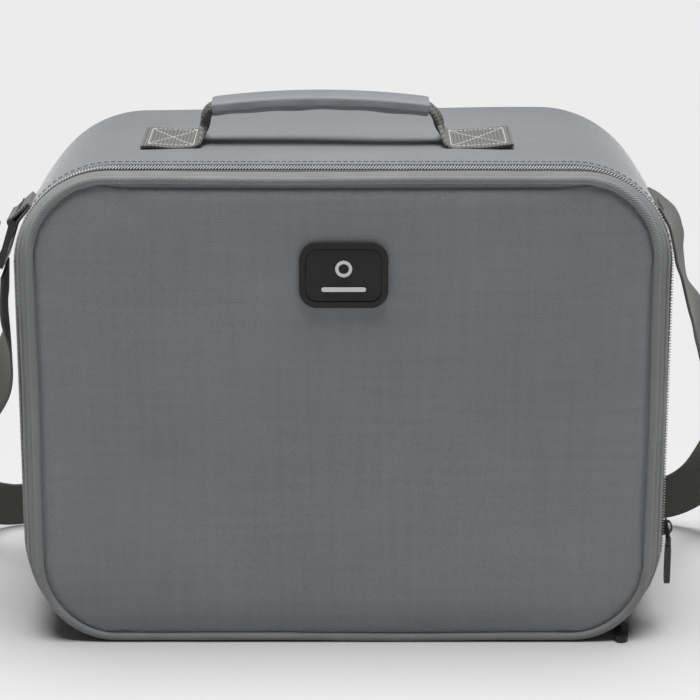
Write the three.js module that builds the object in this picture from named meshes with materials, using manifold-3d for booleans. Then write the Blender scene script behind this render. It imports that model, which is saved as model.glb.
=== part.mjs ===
// A padded, zippered carrying case: a fabric box with foam walls, a lid that folds down on its bottom
// edge, a coil zip round the lid, a top handle and a shoulder strap.
// Millimetres. +Z is up, -Y is the lid's side, and the origin is the middle of the base.
import * as THREE from "three";
import Module from "manifold-3d";

const manifold = await Module();
manifold.setup();

// Outer size of the case
const WIDTH = 330;
const HEIGHT = 246;
const DEPTH = 168;
const CORNER = 58;
const FACE_CORNER = 42;
const ZIP_CORNER = 51;
const FRONT = -DEPTH / 2;
const BACK = DEPTH / 2;

// Cloth, foam and the clearance that keeps neighbours apart
const FABRIC = 1.2;
const FOAM = 5;
const LINING = 1;
const GAP = 0.3;
const ROLLED_EDGE = 6;
const WALL = FABRIC + FOAM + LINING + 2 * GAP;

// Layers of the lid's edge, from the front face back to the box
const PIPING_RADIUS = 2;
const PIPING_OFFSET = -2.5;
const PIPING_Y = FRONT + PIPING_RADIUS;
const BAND_FRONT = PIPING_Y + PIPING_RADIUS + GAP;
const BAND_BACK = FRONT + 15.7;
const TAPER_START = FRONT + 16;
const TAPER = 0.0033;
const HINGE_FRONT = FRONT + 7.5;
const ZIP_Y = FRONT + 21.7;
const BOX_FRONT = FRONT + 28;

// Coil zip: two tapes, two coils and the slot that the sliders' posts run in
const COIL_HALF_SLOT = 0.7;
const COIL_WIDTH = 2.1;
const COIL_HEIGHT = 1.8;
const TAPE_OUTER = -1.4;
const TAPE_THICKNESS = 0.8;
const ZIP_END_X = 98;
const COIL_START_ANGLE = THREE.MathUtils.degToRad(10);
const LID_START_ANGLE = THREE.MathUtils.degToRad(38.6);
const HINGE_END_ANGLE = THREE.MathUtils.degToRad(38);

// Sliders and pulls
const SLIDER_LENGTH = 8;
const SLIDER_WIDTH = 9.6;
const SLIDER_Z = 55;
const BRIDGE_AXIS = 2.75;
const BRIDGE_DROP = 1;
const RING_LENGTH = 6;
const RING_WIRE = 0.5;
const TAB_LENGTH = 24;
const TAB_WIDTH = 7;
const TAB_THICKNESS = 2.6;
const SECOND_SLIDER_ANGLE = THREE.MathUtils.degToRad(33);

// Handle
const HANDLE_Y = -6;
const HANDLE_LEFT = -70;
const HANDLE_RIGHT = 49;
const GRIP_LEFT = -67.5;
const GRIP_RIGHT = 43.5;
const GRIP_RISE = 21.8;
const GRIP_HALF_WIDTH = 11;
const GRIP_HALF_THICK = 3.7;
const PIVOT_RISE = 13;
const HANDLE_WEBBING = 44;
const HANDLE_WEBBING_THICK = 1.8;
const LEG_WIDTH = 16;

// Shoulder strap
const STRAP_WIDTH = 25;
const STRAP_THICK = 1.6;

// Badge on the lid
const BADGE_Z = 196.4;
const BADGE = { width: 44, height: 33, radius: 9, thick: 1.8, rim: 3 };

const COLOURS = {
  shell: [0x66686c, 0.9],
  trim: [0x6e7074, 0.85],
  webbing: [0x6a6a68, 0.9],
  dark: [0x242524, 0.6],
  foam: [0x2f3033, 1],
  lining: [0x3b3d41, 0.85],
  mark: [0xd9dad8, 0.7],
};

// ---------- geometry helpers ----------

const vec = (x, y, z) => new THREE.Vector3(x, y, z);

// Turns a geometry round when its faces point inwards.
function facingOut(geometry) {
  const p = geometry.attributes.position;
  const index = geometry.index.array;
  let volume = 0;
  for (let i = 0; i < index.length; i += 3) {
    const [a, b, c] = [0, 1, 2].map((k) => vec().fromBufferAttribute(p, index[i + k]));
    volume += a.dot(b.cross(c));
  }
  if (volume < 0) index.reverse();
  geometry.computeVertexNormals();
  return geometry;
}

// Sweeps a closed profile of [across, along] points through frames of { at, across, along }.
function sweep(frames, profile, closed = false) {
  const n = profile.length;
  const points = frames.flatMap(({ at, across, along }) =>
    profile.flatMap(([a, b]) =>
      at.clone().addScaledVector(across, a).addScaledVector(along, b).toArray(),
    ),
  );
  const index = [];
  const bands = closed ? frames.length : frames.length - 1;
  for (let i = 0; i < bands; i++) {
    const here = i * n;
    const next = ((i + 1) % frames.length) * n;
    for (let j = 0; j < n; j++) {
      const k = (j + 1) % n;
      index.push(here + j, next + j, next + k, here + j, next + k, here + k);
    }
  }
  if (!closed) {
    const outline = profile.map(([a, b]) => new THREE.Vector2(a, b));
    const last = (frames.length - 1) * n;
    for (const [a, b, c] of THREE.ShapeUtils.triangulateShape(outline, [])) {
      const turned = THREE.ShapeUtils.isClockWise(outline) ? [a, b, c] : [c, b, a];
      const [p, q, r] = turned;
      index.push(r, q, p, last + p, last + q, last + r);
    }
  }
  const geometry = new THREE.BufferGeometry();
  geometry.setAttribute("position", new THREE.Float32BufferAttribute(points, 3));
  geometry.setIndex(new THREE.BufferAttribute(new Uint32Array(index), 1));
  return facingOut(geometry);
}

function circle(radius, [a, b] = [0, 0], sides = 12) {
  return Array.from({ length: sides }, (_, i) => {
    const angle = (i / sides) * 2 * Math.PI;
    return [a + radius * Math.cos(angle), b + radius * Math.sin(angle)];
  });
}

const rectangle = (a0, a1, b0, b1) => [[a0, b0], [a1, b0], [a1, b1], [a0, b1]];

// The solid that manifold-3d works on, and back again.
function solid(geometry) {
  const source = geometry.index ? geometry.toNonIndexed() : geometry;
  const position = source.attributes.position;
  const mesh = new manifold.Mesh({
    numProp: 3,
    vertProperties: new Float32Array(position.array),
    triVerts: new Uint32Array(position.count).map((_, i) => i),
  });
  mesh.merge();
  return new manifold.Manifold(mesh);
}

function geometryOf(body) {
  const mesh = body.getMesh();
  const geometry = new THREE.BufferGeometry();
  geometry.setAttribute("position", new THREE.BufferAttribute(mesh.vertProperties, 3));
  geometry.setIndex(new THREE.BufferAttribute(mesh.triVerts, 1));
  geometry.computeVertexNormals();
  return geometry;
}

const joined = (...parts) => geometryOf(parts.map(solid).reduce((a, b) => a.add(b)));
const cut = (body, ...tools) =>
  geometryOf(tools.map(solid).reduce((left, tool) => left.subtract(tool), solid(body)));

function box(x0, x1, y0, y1, z0, z1) {
  const geometry = new THREE.BoxGeometry(x1 - x0, y1 - y0, z1 - z0);
  return geometry.translate((x0 + x1) / 2, (y0 + y1) / 2, (z0 + z1) / 2);
}

function roundedRectangle(width, height, radius) {
  const [x, y] = [width / 2 - radius, height / 2 - radius];
  const shape = new THREE.Shape();
  shape.absarc(x, -y, radius, -Math.PI / 2, 0);
  shape.absarc(x, y, radius, 0, Math.PI / 2);
  shape.absarc(-x, y, radius, Math.PI / 2, Math.PI);
  shape.absarc(-x, -y, radius, Math.PI, 1.5 * Math.PI);
  return shape;
}

// A shape drawn in X and Z, made solid from y0 to y1.
function slab(shape, y0, y1, curveSegments = 8) {
  const options = { depth: y1 - y0, bevelEnabled: false, curveSegments };
  return new THREE.ExtrudeGeometry(shape, options).rotateX(Math.PI / 2).translate(0, y1, 0);
}

// ---------- the case's outline ----------

const CENTRE_X = WIDTH / 2 - CORNER;
const CENTRE_LOW = CORNER;
const CENTRE_HIGH = HEIGHT - CORNER;
const ARC = (CORNER * Math.PI) / 2;
const ARC_STEPS = 10;
const RUNS = [
  { length: CENTRE_X, x: CENTRE_X, z: CENTRE_LOW },
  { length: CENTRE_HIGH - CENTRE_LOW, x: CENTRE_X, z: CENTRE_HIGH },
  { length: 2 * CENTRE_X, x: -CENTRE_X, z: CENTRE_HIGH },
  { length: CENTRE_HIGH - CENTRE_LOW, x: -CENTRE_X, z: CENTRE_LOW },
  { length: CENTRE_X, x: 0, z: CENTRE_LOW },
];
const PERIMETER = RUNS.reduce((sum, run) => sum + run.length, 4 * ARC);

// The frame at a distance round the outline, from the middle of the base towards +X and up.
function outlineFrame(distance) {
  let left = distance;
  for (const [i, { length, x, z }] of RUNS.entries()) {
    const start = ((i - 1) * Math.PI) / 2;
    const onArc = Math.max(0, left - length);
    if (onArc <= ARC + 1e-9 || i === RUNS.length - 1) {
      const angle = start + (i < RUNS.length - 1 ? onArc / CORNER : 0);
      const across = vec(Math.cos(angle), 0, Math.sin(angle));
      const before = Math.max(0, length - left);
      const at = vec(x, 0, z).addScaledVector(across, CORNER);
      at.addScaledVector(vec(-across.z, 0, across.x), -before);
      return { at, across, along: vec(0, 1, 0) };
    }
    left -= length + ARC;
  }
}

// Every frame between two distances, with the corner arcs in short steps.
function outlineFrames(from, to) {
  const stops = [];
  let reached = 0;
  for (const { length } of RUNS.slice(0, 4)) {
    reached += length;
    for (let i = 0; i <= ARC_STEPS; i++) stops.push(reached + (ARC * i) / ARC_STEPS);
    reached += ARC;
  }
  const inside = stops.filter((stop) => stop > from + 0.5 && stop < to - 0.5);
  return [from, ...inside, to].map(outlineFrame);
}

// The corners are drawn with the back's radius, and tighten towards the lid's face.
function cornerRadius(y) {
  if (y < ZIP_Y) return THREE.MathUtils.mapLinear(y, PIPING_Y, ZIP_Y, FACE_CORNER, ZIP_CORNER);
  return THREE.MathUtils.mapLinear(y, ZIP_Y, BACK, ZIP_CORNER, CORNER);
}

// Moves a point of a drawn corner out along its own ray, onto the tighter corner at its depth.
function tightened(point) {
  const across = Math.abs(point.x) - CENTRE_X;
  const up = Math.abs(point.z - HEIGHT / 2) - (CENTRE_HIGH - HEIGHT / 2);
  if (across <= 0 || up <= 0) return point;
  const radius = cornerRadius(point.y);
  const shift = CORNER - radius;
  const reach = Math.hypot(across, up);
  const [c, s] = [across / reach, up / reach];
  const straight = Math.min(c, s) / Math.max(c, s) < shift / CORNER;
  const round = shift * (c + s) + Math.sqrt(radius * radius - shift * shift * (1 - 2 * c * s));
  const grow = (straight ? CORNER / Math.max(c, s) : round) / CORNER;
  point.x += Math.sign(point.x) * across * (grow - 1);
  point.z += Math.sign(point.z - HEIGHT / 2) * up * (grow - 1);
  return point;
}

function squared(geometry) {
  const position = geometry.attributes.position;
  for (let i = 0; i < position.count; i++) {
    const { x, y, z } = tightened(vec().fromBufferAttribute(position, i));
    position.setXYZ(i, x, y, z);
  }
  return geometry;
}

// Long edges of a profile get a point at the middle depths too, so that neighbours bend alike.
function withMiddle(profile) {
  return profile.flatMap((point, i) => {
    const next = profile[(i + 1) % profile.length];
    const middles = [-20, 10, 42].filter((y) => (y - point[1]) * (y - next[1]) < -100);
    if (next[1] < point[1]) middles.reverse();
    const at = (y) => THREE.MathUtils.mapLinear(y, point[1], next[1], point[0], next[0]);
    return [point, ...middles.map((y) => [at(y), y])];
  });
}

const ringFrames = outlineFrames(0, PERIMETER).slice(0, -1);
const ring = (profile) => squared(sweep(ringFrames, withMiddle(profile), true));
const fromHinge = (angle) => CENTRE_X + CORNER * angle;

// A swept strip that goes from the base over the top, starting at a distance from the base's middle.
const overTop = (start, profile) => squared(sweep(outlineFrames(start, PERIMETER - start), profile));

// A flat panel of the case's own outline, drawn in by an offset: two fans of triangles and a wall.
function panel(offset, y0, y1) {
  const face = (y) => [
    ...ringFrames.map(({ at, across }) => at.clone().addScaledVector(across, offset).setY(y)),
    vec(0, y, HEIGHT / 2),
  ];
  const n = ringFrames.length;
  const far = n + 1;
  const index = [];
  for (let i = 0; i < n; i++) {
    const k = (i + 1) % n;
    index.push(n, i, k, far + n, far + k, far + i, i, far + i, far + k, i, far + k, k);
  }
  const points = [...face(y0), ...face(y1)].flatMap((point) => tightened(point).toArray());
  const geometry = new THREE.BufferGeometry();
  geometry.setAttribute("position", new THREE.Float32BufferAttribute(points, 3));
  geometry.setIndex(new THREE.BufferAttribute(new Uint32Array(index), 1));
  return facingOut(geometry);
}

// The lid is narrower at its face than at the zip: in front of the taper's start, X shrinks with Y.
function tapered(geometry) {
  const position = geometry.attributes.position;
  for (let i = 0; i < position.count; i++) {
    const forward = Math.max(0, TAPER_START - position.getY(i));
    position.setX(i, position.getX(i) * (1 - TAPER * forward));
  }
  return geometry;
}

// ---------- group building ----------

const part = new THREE.Group();

function add(name, geometry, [colour, roughness], parent = part) {
  const material = new THREE.MeshStandardMaterial({ color: colour, roughness, metalness: 0 });
  const mesh = new THREE.Mesh(geometry, material);
  mesh.name = name;
  parent.add(mesh);
  return mesh;
}

// ---------- box of the case ----------

function rolledShell() {
  const arc = (radius, turns) =>
    turns.map((t) => {
      const angle = (t * Math.PI) / 8;
      const along = BACK - ROLLED_EDGE + radius * Math.sin(angle);
      return [-ROLLED_EDGE + radius * Math.cos(angle), along];
    });
  const outer = arc(ROLLED_EDGE, [0, 1, 2, 3, 4]);
  const inner = arc(ROLLED_EDGE - FABRIC, [4, 3, 2, 1, 0]);
  return ring([[0, BOX_FRONT], ...outer, ...inner, [-FABRIC, BOX_FRONT]]);
}

function buildBox() {
  const foamOuter = -FABRIC - GAP;
  const foamInner = foamOuter - FOAM;
  const liningOuter = foamInner - GAP;
  const liningInner = liningOuter - LINING;
  const bindingBack = BOX_FRONT + 3.7;
  const wallFront = bindingBack + GAP;
  const liningBack = BACK - 8.5;
  add("gusset_shell", rolledShell(), COLOURS.shell);
  add("back_panel", panel(-ROLLED_EDGE - GAP, BACK - FABRIC, BACK), COLOURS.shell);
  add("gusset_foam", ring(rectangle(foamInner, foamOuter, wallFront, BACK - 7.5)), COLOURS.foam);
  add("back_foam", panel(liningOuter, BACK - 7, BACK - FABRIC - GAP), COLOURS.foam);
  add("gusset_lining", ring(rectangle(liningInner, liningOuter, wallFront, liningBack)), COLOURS.lining);
  add("back_lining", panel(liningOuter, liningBack + GAP, liningBack + GAP + 0.9), COLOURS.lining);
  const frontBinding = rectangle(liningInner, foamOuter, BOX_FRONT + GAP, bindingBack);
  add("front_edge_binding", ring(frontBinding), COLOURS.trim);
  const rearBinding = rectangle(liningInner - 3.2, liningInner - GAP, liningBack - 3, liningBack - 0.2);
  add("back_seam_binding", ring(rearBinding), COLOURS.trim);
}

// ---------- lid ----------

function buildLid() {
  const lid = new THREE.Group();
  part.add(lid);
  const start = fromHinge(LID_START_ANGLE);
  const panelOffset = PIPING_OFFSET - PIPING_RADIUS - GAP;
  const addTapered = (name, geometry, colour) => add(name, tapered(geometry), colour, lid);
  addTapered("lid_panel", panel(panelOffset, FRONT, FRONT + FABRIC), COLOURS.shell);
  addTapered("lid_foam", panel(panelOffset - 0.7, FRONT + 1.5, FRONT + 7.5), COLOURS.foam);
  addTapered("lid_lining", panel(panelOffset - 0.7, FRONT + 7.8, FRONT + 8.8), COLOURS.lining);
  addTapered("lid_piping", ring(circle(PIPING_RADIUS, [PIPING_OFFSET, PIPING_Y])), COLOURS.trim);
  const third = (BAND_BACK - BAND_FRONT) / 3;
  const puffed = [[-2.6, BAND_FRONT], [-1, BAND_FRONT], [-0.1, BAND_FRONT + third]];
  puffed.push([-0.1, BAND_BACK - third], [-1, BAND_BACK], [-2.6, BAND_BACK]);
  addTapered("lid_band", overTop(start, puffed), COLOURS.trim);
  const tapeEnd = ZIP_Y - COIL_HALF_SLOT - 0.2;
  addTapered("lid_zip_tape", overTop(start, tapeProfile(BAND_BACK + GAP, tapeEnd)), COLOURS.trim);
  const coilStart = ZIP_Y - COIL_HALF_SLOT - COIL_WIDTH;
  add("lid_zip_coil", overTop(start, coilProfile(coilStart)), COLOURS.trim, lid);
  buildBadge(lid);
  buildLidPocket(lid);
}

function buildBadge(lid) {
  const { width, height, radius, thick, rim } = BADGE;
  const inner = roundedRectangle(width - 2 * rim, height - 2 * rim, radius - rim);
  const border = roundedRectangle(width, height, radius);
  border.holes.push(inner);
  const face = FRONT - GAP;
  const plateRim = rim + 0.4;
  const plate = roundedRectangle(width - 2 * plateRim, height - 2 * plateRim, radius - plateRim);
  const ringShape = new THREE.Shape().absarc(0, 3.5, 4.2, 0, 2 * Math.PI);
  ringShape.holes.push(new THREE.Path().absarc(0, 3.5, 2.6, 0, 2 * Math.PI));
  const bar = roundedRectangle(22, 2.2, 1.1);
  const marks = face - thick - GAP;
  const raised = (shape, y0, y1) => slab(shape, y0, y1).translate(0, 0, BADGE_Z);
  add("badge_border", raised(border, face - thick - 0.6, face), COLOURS.dark, lid);
  add("badge_plate", raised(plate, face - thick, face), COLOURS.dark, lid);
  add("badge_ring_mark", raised(ringShape, marks - 0.5, marks), COLOURS.mark, lid);
  add("badge_bar_mark", raised(bar, marks - 0.5, marks).translate(0, 0, -7), COLOURS.mark, lid);
}

// A flat mesh pocket on the lid's inner face, bound on three sides and elastic along its top.
function buildLidPocket(lid) {
  const [halfWidth, low, high, edge] = [125, 28, 140, 9];
  const face = FRONT + 8.8 + GAP;
  const pocket = box(-halfWidth, halfWidth, face, face + 0.7, low, high);
  add("lid_pocket_mesh", pocket, COLOURS.lining, lid);
  const frame = box(-halfWidth - edge, halfWidth + edge, face, face + 1.2, low - edge, high);
  const opening = box(-halfWidth - GAP, halfWidth + GAP, face - 1, face + 3, low - GAP, high + 1);
  add("lid_pocket_binding", cut(frame, opening), COLOURS.trim, lid);
  const reach = halfWidth + edge;
  add("lid_pocket_elastic", box(-reach, reach, face, face + 1.6, high + GAP, high + 12), COLOURS.dark, lid);
}

// ---------- zip ----------

const tapeProfile = (y0, y1) => rectangle(TAPE_OUTER - TAPE_THICKNESS, TAPE_OUTER, y0, y1);

function coilProfile(y0) {
  const low = TAPE_OUTER + GAP;
  const [high, y1, turn] = [low + COIL_HEIGHT, y0 + COIL_WIDTH, 0.5];
  return [[low, y0], [high - turn, y0], [high, y0 + turn], [high, y1 - turn], [high - turn, y1], [low, y1]];
}

// The fold that the lid turns on: it fills the base between the piping and the box, and beyond the
// zip's ends it carries the lid's half of the zip up to where the lid's own band starts.
function hingeStrip() {
  const back = BOX_FRONT - GAP;
  const end = fromHinge(HINGE_END_ANGLE);
  const bottom = outlineFrames(PERIMETER - end, PERIMETER).slice(0, -1).concat(outlineFrames(0, end));
  const edges = [HINGE_FRONT, TAPER_START, ZIP_Y - COIL_HALF_SLOT];
  const profile = [...edges.map((y) => [0, y]), ...edges.toReversed().map((y) => [-FABRIC, y])];
  const wide = tapered(squared(sweep(bottom, profile)));
  const reach = ZIP_END_X - 1;
  return joined(wide, box(-reach, reach, HINGE_FRONT + 2, back, 0, FABRIC));
}

function buildZip() {
  const tape = tapeProfile(ZIP_Y + COIL_HALF_SLOT + 0.2, BOX_FRONT - GAP);
  add("zip_tape", overTop(ZIP_END_X, tape), COLOURS.trim);
  const coil = coilProfile(ZIP_Y + COIL_HALF_SLOT);
  add("zip_coil", overTop(fromHinge(COIL_START_ANGLE), coil), COLOURS.trim);
  add("hinge_strip", hingeStrip(), COLOURS.shell);
  buildSlider("zip_slider", vec(WIDTH / 2, ZIP_Y, SLIDER_Z), 0);
  buildPull();
  const onCorner = (angle) => {
    const [sin, cos] = [Math.sin(angle), Math.cos(angle)];
    return tightened(vec(CENTRE_X + CORNER * sin, ZIP_Y, CENTRE_LOW - CORNER * cos));
  };
  const along = onCorner(SECOND_SLIDER_ANGLE + 0.05).sub(onCorner(SECOND_SLIDER_ANGLE - 0.05));
  buildSlider("lower_slider", onCorner(SECOND_SLIDER_ANGLE), Math.atan2(along.x, along.z));
  const lowerTab = add("lower_pull_tab", tabGeometry(), COLOURS.dark);
  lowerTab.rotation.set(0, Math.PI / 2, THREE.MathUtils.degToRad(84), "ZYX");
  lowerTab.position.set(145, ZIP_Y + 1, TAB_THICKNESS / 2 + GAP);
}

// Two plates joined by a thin post that runs between the coils, with a bridge for the pull.
// Its own axes: +X away from the case, +Z the way it slides up.
function buildSlider(name, position, turn) {
  const [half, nose, tail] = [SLIDER_LENGTH / 2, SLIDER_WIDTH / 2, SLIDER_WIDTH / 2 - 1.6];
  const outline = new THREE.Shape();
  outline.moveTo(-tail, half);
  outline.lineTo(tail, half);
  outline.lineTo(nose, -half + 2.4);
  outline.lineTo(nose - 2, -half);
  outline.lineTo(2 - nose, -half);
  outline.lineTo(-nose, -half + 2.4);
  const plate = (x0, x1) => {
    const flat = new THREE.ExtrudeGeometry(outline, { depth: x1 - x0, bevelEnabled: false });
    flat.applyMatrix4(new THREE.Matrix4().makeBasis(vec(0, 1, 0), vec(0, 0, 1), vec(1, 0, 0)));
    return flat.translate(x0, 0, 0);
  };
  const arch = new THREE.Shape().absellipse(0, 0, 2.9, 4, -Math.PI / 2, Math.PI / 2);
  arch.holes.push(new THREE.Path().absellipse(0.2, 0, 1.8, 2.9, -Math.PI / 2, Math.PI / 2));
  const bridge = slab(arch, -0.8, 0.8).translate(1.8, 0, 0);
  const post = box(-3, 1.2, -0.4, 0.4, -half, half);
  const slider = joined(plate(-3.8, -2.9), plate(1, 1.9), post, bridge);
  const mesh = add(name, slider, COLOURS.dark);
  mesh.position.copy(position);
  mesh.rotation.y = turn;
}

function tabGeometry() {
  const [wide, thick, end] = [TAB_WIDTH / 2, TAB_THICKNESS / 2, TAB_WIDTH / 2];
  const face = new THREE.Shape();
  face.moveTo(-1.6, 1.5);
  face.lineTo(-1.6, -2.2);
  face.lineTo(-wide, -4.4);
  face.absarc(0, end - TAB_LENGTH, wide, Math.PI, 2 * Math.PI);
  face.lineTo(wide, -4.4);
  face.lineTo(1.6, -2.2);
  face.lineTo(1.6, 1.5);
  const flat = new THREE.ExtrudeGeometry(face, { depth: 2 * thick, bevelEnabled: false });
  flat.applyMatrix4(new THREE.Matrix4().makeBasis(vec(0, 1, 0), vec(0, 0, 1), vec(1, 0, 0)));
  flat.translate(-thick, 0, 0);
  const eye = new THREE.CylinderGeometry(RING_WIRE + GAP, RING_WIRE + GAP, 6, 16);
  return cut(flat, eye);
}

// The pull hangs straight down from the slider's bridge: a small ring, then the tab.
function buildPull() {
  const pivot = vec(WIDTH / 2 + BRIDGE_AXIS, ZIP_Y, SLIDER_Z - BRIDGE_DROP);
  const halfWidth = 2.8;
  const corners = [[-1, 0], [1, 0], [1, -1], [-1, -1]];
  const points = corners.map(([side, down]) => vec(0, side * halfWidth, down * RING_LENGTH));
  const bars = points.map((point, i) => {
    const along = new THREE.LineCurve3(point, points[(i + 1) % 4]);
    const wire = new THREE.Shape(circle(RING_WIRE, [0, 0], 10).map(([a, b]) => new THREE.Vector2(a, b)));
    return new THREE.ExtrudeGeometry(wire, { steps: 1, extrudePath: along });
  });
  const knuckles = points.map((point) =>
    new THREE.SphereGeometry(RING_WIRE * 1.02, 10, 8).translate(...point.toArray()),
  );
  add("pull_ring", joined(...bars, ...knuckles), COLOURS.dark).position.copy(pivot);
  const tab = add("pull_tab", tabGeometry(), COLOURS.dark);
  tab.position.copy(pivot).add(vec(0, 0, -RING_LENGTH));
}

// ---------- handle ----------

const archHeight = (x) => {
  const middle = (GRIP_LEFT + GRIP_RIGHT) / 2;
  const reach = (x - middle) / (GRIP_RIGHT - GRIP_LEFT);
  return HEIGHT + GRIP_RISE - 14 * reach * reach;
};

function gripFrames(x0, x1, steps = 12) {
  return Array.from({ length: steps + 1 }, (_, i) => {
    const x = x0 + ((x1 - x0) * i) / steps;
    const slope = (archHeight(x + 0.5) - archHeight(x - 0.5)) / 1;
    const tangent = vec(1, 0, slope).normalize();
    const along = vec(-tangent.z, 0, tangent.x);
    return { at: vec(x, HANDLE_Y, archHeight(x)), across: vec(0, 1, 0), along };
  });
}

function stadium(halfWidth, halfHeight, sides = 6) {
  const round = (centre, start) =>
    Array.from({ length: sides + 1 }, (_, i) => {
      const angle = start + (i / sides) * Math.PI;
      return [centre + halfHeight * Math.cos(angle), halfHeight * Math.sin(angle)];
    });
  return [...round(halfWidth - halfHeight, -Math.PI / 2), ...round(halfHeight - halfWidth, Math.PI / 2)];
}

// One folded webbing from pivot to pivot, through the grip, with a round foot on each pivot.
function handleWebbing() {
  const thick = HANDLE_WEBBING_THICK;
  const [left, right] = [HANDLE_LEFT, HANDLE_RIGHT];
  const across = vec(0, 1, 0);
  const pivotZ = HEIGHT + PIVOT_RISE;
  const bend = (x, z, tangent) => {
    return { at: vec(x, HANDLE_Y, z), across, along: vec(-tangent[1], 0, tangent[0]) };
  };
  const frames = [
    bend(left, pivotZ, [0, 1]),
    bend(left + 0.4, pivotZ + 3, [0.2, 0.98]),
    bend(left + 1.8, pivotZ + 5.4, [0.7, 0.71]),
    ...gripFrames(GRIP_LEFT + 1, GRIP_RIGHT - 1),
    bend(right - 2, pivotZ + 5.2, [0.75, -0.66]),
    bend(right - 0.5, pivotZ + 3, [0.3, -0.95]),
    bend(right, pivotZ, [0, -1]),
  ];
  const half = LEG_WIDTH / 2;
  const foot = (x) => {
    const disc = new THREE.CylinderGeometry(half, half, thick, 24).rotateZ(Math.PI / 2);
    return disc.translate(x, HANDLE_Y, pivotZ);
  };
  return joined(sweep(frames, rectangle(-half, half, -thick / 2, thick / 2)), foot(left), foot(right));
}

// A leg that is sewn to the top and reaches up to the handle's pivot, gathered as it rises.
function handleLeg(x0, x1) {
  const wide = HANDLE_WEBBING / 2;
  const face = new THREE.Shape();
  face.moveTo(-wide, 0);
  face.lineTo(wide, 0);
  face.lineTo(LEG_WIDTH / 2, PIVOT_RISE - GAP);
  face.absarc(0, PIVOT_RISE - GAP, LEG_WIDTH / 2, 0, Math.PI);
  const flat = new THREE.ExtrudeGeometry(face, { depth: x1 - x0, bevelEnabled: false });
  flat.applyMatrix4(new THREE.Matrix4().makeBasis(vec(0, 1, 0), vec(0, 0, 1), vec(1, 0, 0)));
  return flat.translate(x0, HANDLE_Y, HEIGHT + GAP);
}

function buildHandle() {
  const handle = new THREE.Group();
  part.add(handle);
  const thick = HANDLE_WEBBING_THICK;
  const [y0, y1] = [HANDLE_Y - HANDLE_WEBBING / 2, HANDLE_Y + HANDLE_WEBBING / 2];
  const low = HEIGHT + GAP;
  const leftLeg = HANDLE_LEFT - thick / 2 - GAP;
  const rightLeg = HANDLE_RIGHT + thick / 2 + GAP;
  const patch = (x0, x1) => box(x0, x1, y0, y1, low, low + thick);
  add("handle_patch_left", patch(leftLeg - thick - GAP - 30, leftLeg - thick - GAP), COLOURS.webbing);
  add("handle_patch_right", patch(rightLeg + thick + GAP, rightLeg + thick + GAP + 34), COLOURS.webbing);
  add("handle_leg_left", handleLeg(leftLeg - thick, leftLeg), COLOURS.webbing);
  add("handle_leg_right", handleLeg(rightLeg, rightLeg + thick), COLOURS.webbing);
  const inside = HEIGHT - WALL - GAP;
  const backing = (x) => box(x - 20, x + 20, y0 - 4, y1 + 4, inside - 1, inside);
  add("handle_backing_left", backing(leftLeg - 10), COLOURS.webbing);
  add("handle_backing_right", backing(rightLeg + 10), COLOURS.webbing);
  add("handle_webbing", handleWebbing(), COLOURS.webbing, handle);
  const frames = gripFrames(GRIP_LEFT, GRIP_RIGHT);
  const bore = sweep(gripFrames(GRIP_LEFT - 2, GRIP_RIGHT + 2), rectangle(-8.4, 8.4, -1.3, 1.3));
  const core = sweep(frames, stadium(GRIP_HALF_WIDTH - 1.3, GRIP_HALF_THICK - 1.1));
  add("grip_foam", cut(core, bore), COLOURS.foam, handle);
  const sleeve = sweep(frames, stadium(GRIP_HALF_WIDTH, GRIP_HALF_THICK));
  const inner = stadium(GRIP_HALF_WIDTH - 0.9, GRIP_HALF_THICK - 0.8);
  const hollow = sweep(gripFrames(GRIP_LEFT - 2, GRIP_RIGHT + 2), inner);
  add("grip_sleeve", cut(sleeve, hollow), COLOURS.trim, handle);
}

// ---------- shoulder strap ----------

// Stations of the webbing's centre line and the way its width points, from the seam on the right
// corner, down beside the case, along the table behind it on edge, and up to the adjuster on the left.
const STRAP_ROUTE = [
  { at: vec(156.4, -41.5, 224.9), width: vec(-0.17, 0.96, 0.23) },
  { at: vec(161, -40, 220.3), width: vec(0.02, 0.97, 0.23) },
  { at: vec(166.6, -38, 212.8), width: vec(0.27, 0.96, 0.07) },
  { at: vec(170.6, -34, 201.5), width: vec(0.32, 0.93, -0.2) },
  { at: vec(173.6, -28, 188.2), width: vec(0.22, 0.93, -0.29) },
  { at: vec(178.4, -20, 168.9), width: vec(0.15, 0.98, -0.05) },
  { at: vec(190, 10, 143), width: vec(0.3, 0.85, 0.1) },
  { at: vec(203, 36, 104), width: vec(0.3, 0.6, 0.6) },
  { at: vec(210, 58, 66), width: vec(-0.1, 0.4, 0.9) },
  { at: vec(204, 74, 34), width: vec(-0.5, 0.1, 0.86) },
  { at: vec(187, 84, 17.8), width: vec(-0.3, 0, 0.95) },
  { at: vec(165, 91, 13.4), width: vec(0, 0, 1) },
  { at: vec(110, 93, 12.9), width: vec(0, 0, 1) },
  { at: vec(0, 94, 12.9), width: vec(0, 0, 1) },
  { at: vec(-110, 93, 12.9), width: vec(0, 0, 1) },
  { at: vec(-170, 88, 13.4), width: vec(0, 0, 1) },
  { at: vec(-194, 80, 14.4), width: vec(0.1, 0, 1) },
  { at: vec(-210, 62, 27), width: vec(0.3, 0.3, 0.9) },
  { at: vec(-211, 42, 56), width: vec(0.1, 0.5, 0.85) },
  { at: vec(-199, 24, 88), width: vec(-0.4, 0.5, 0.75) },
  { at: vec(-184, 2, 116), width: vec(-0.5, 0.65, 0.55) },
  { at: vec(-175, -21, 144), width: vec(-0.2, 0.95, 0.2) },
  { at: vec(-174.2, -37, 166.7), width: vec(0, 1, 0.05) },
  { at: vec(-172.6, -41.5, 188.2), width: vec(0, 1, 0) },
];
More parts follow.
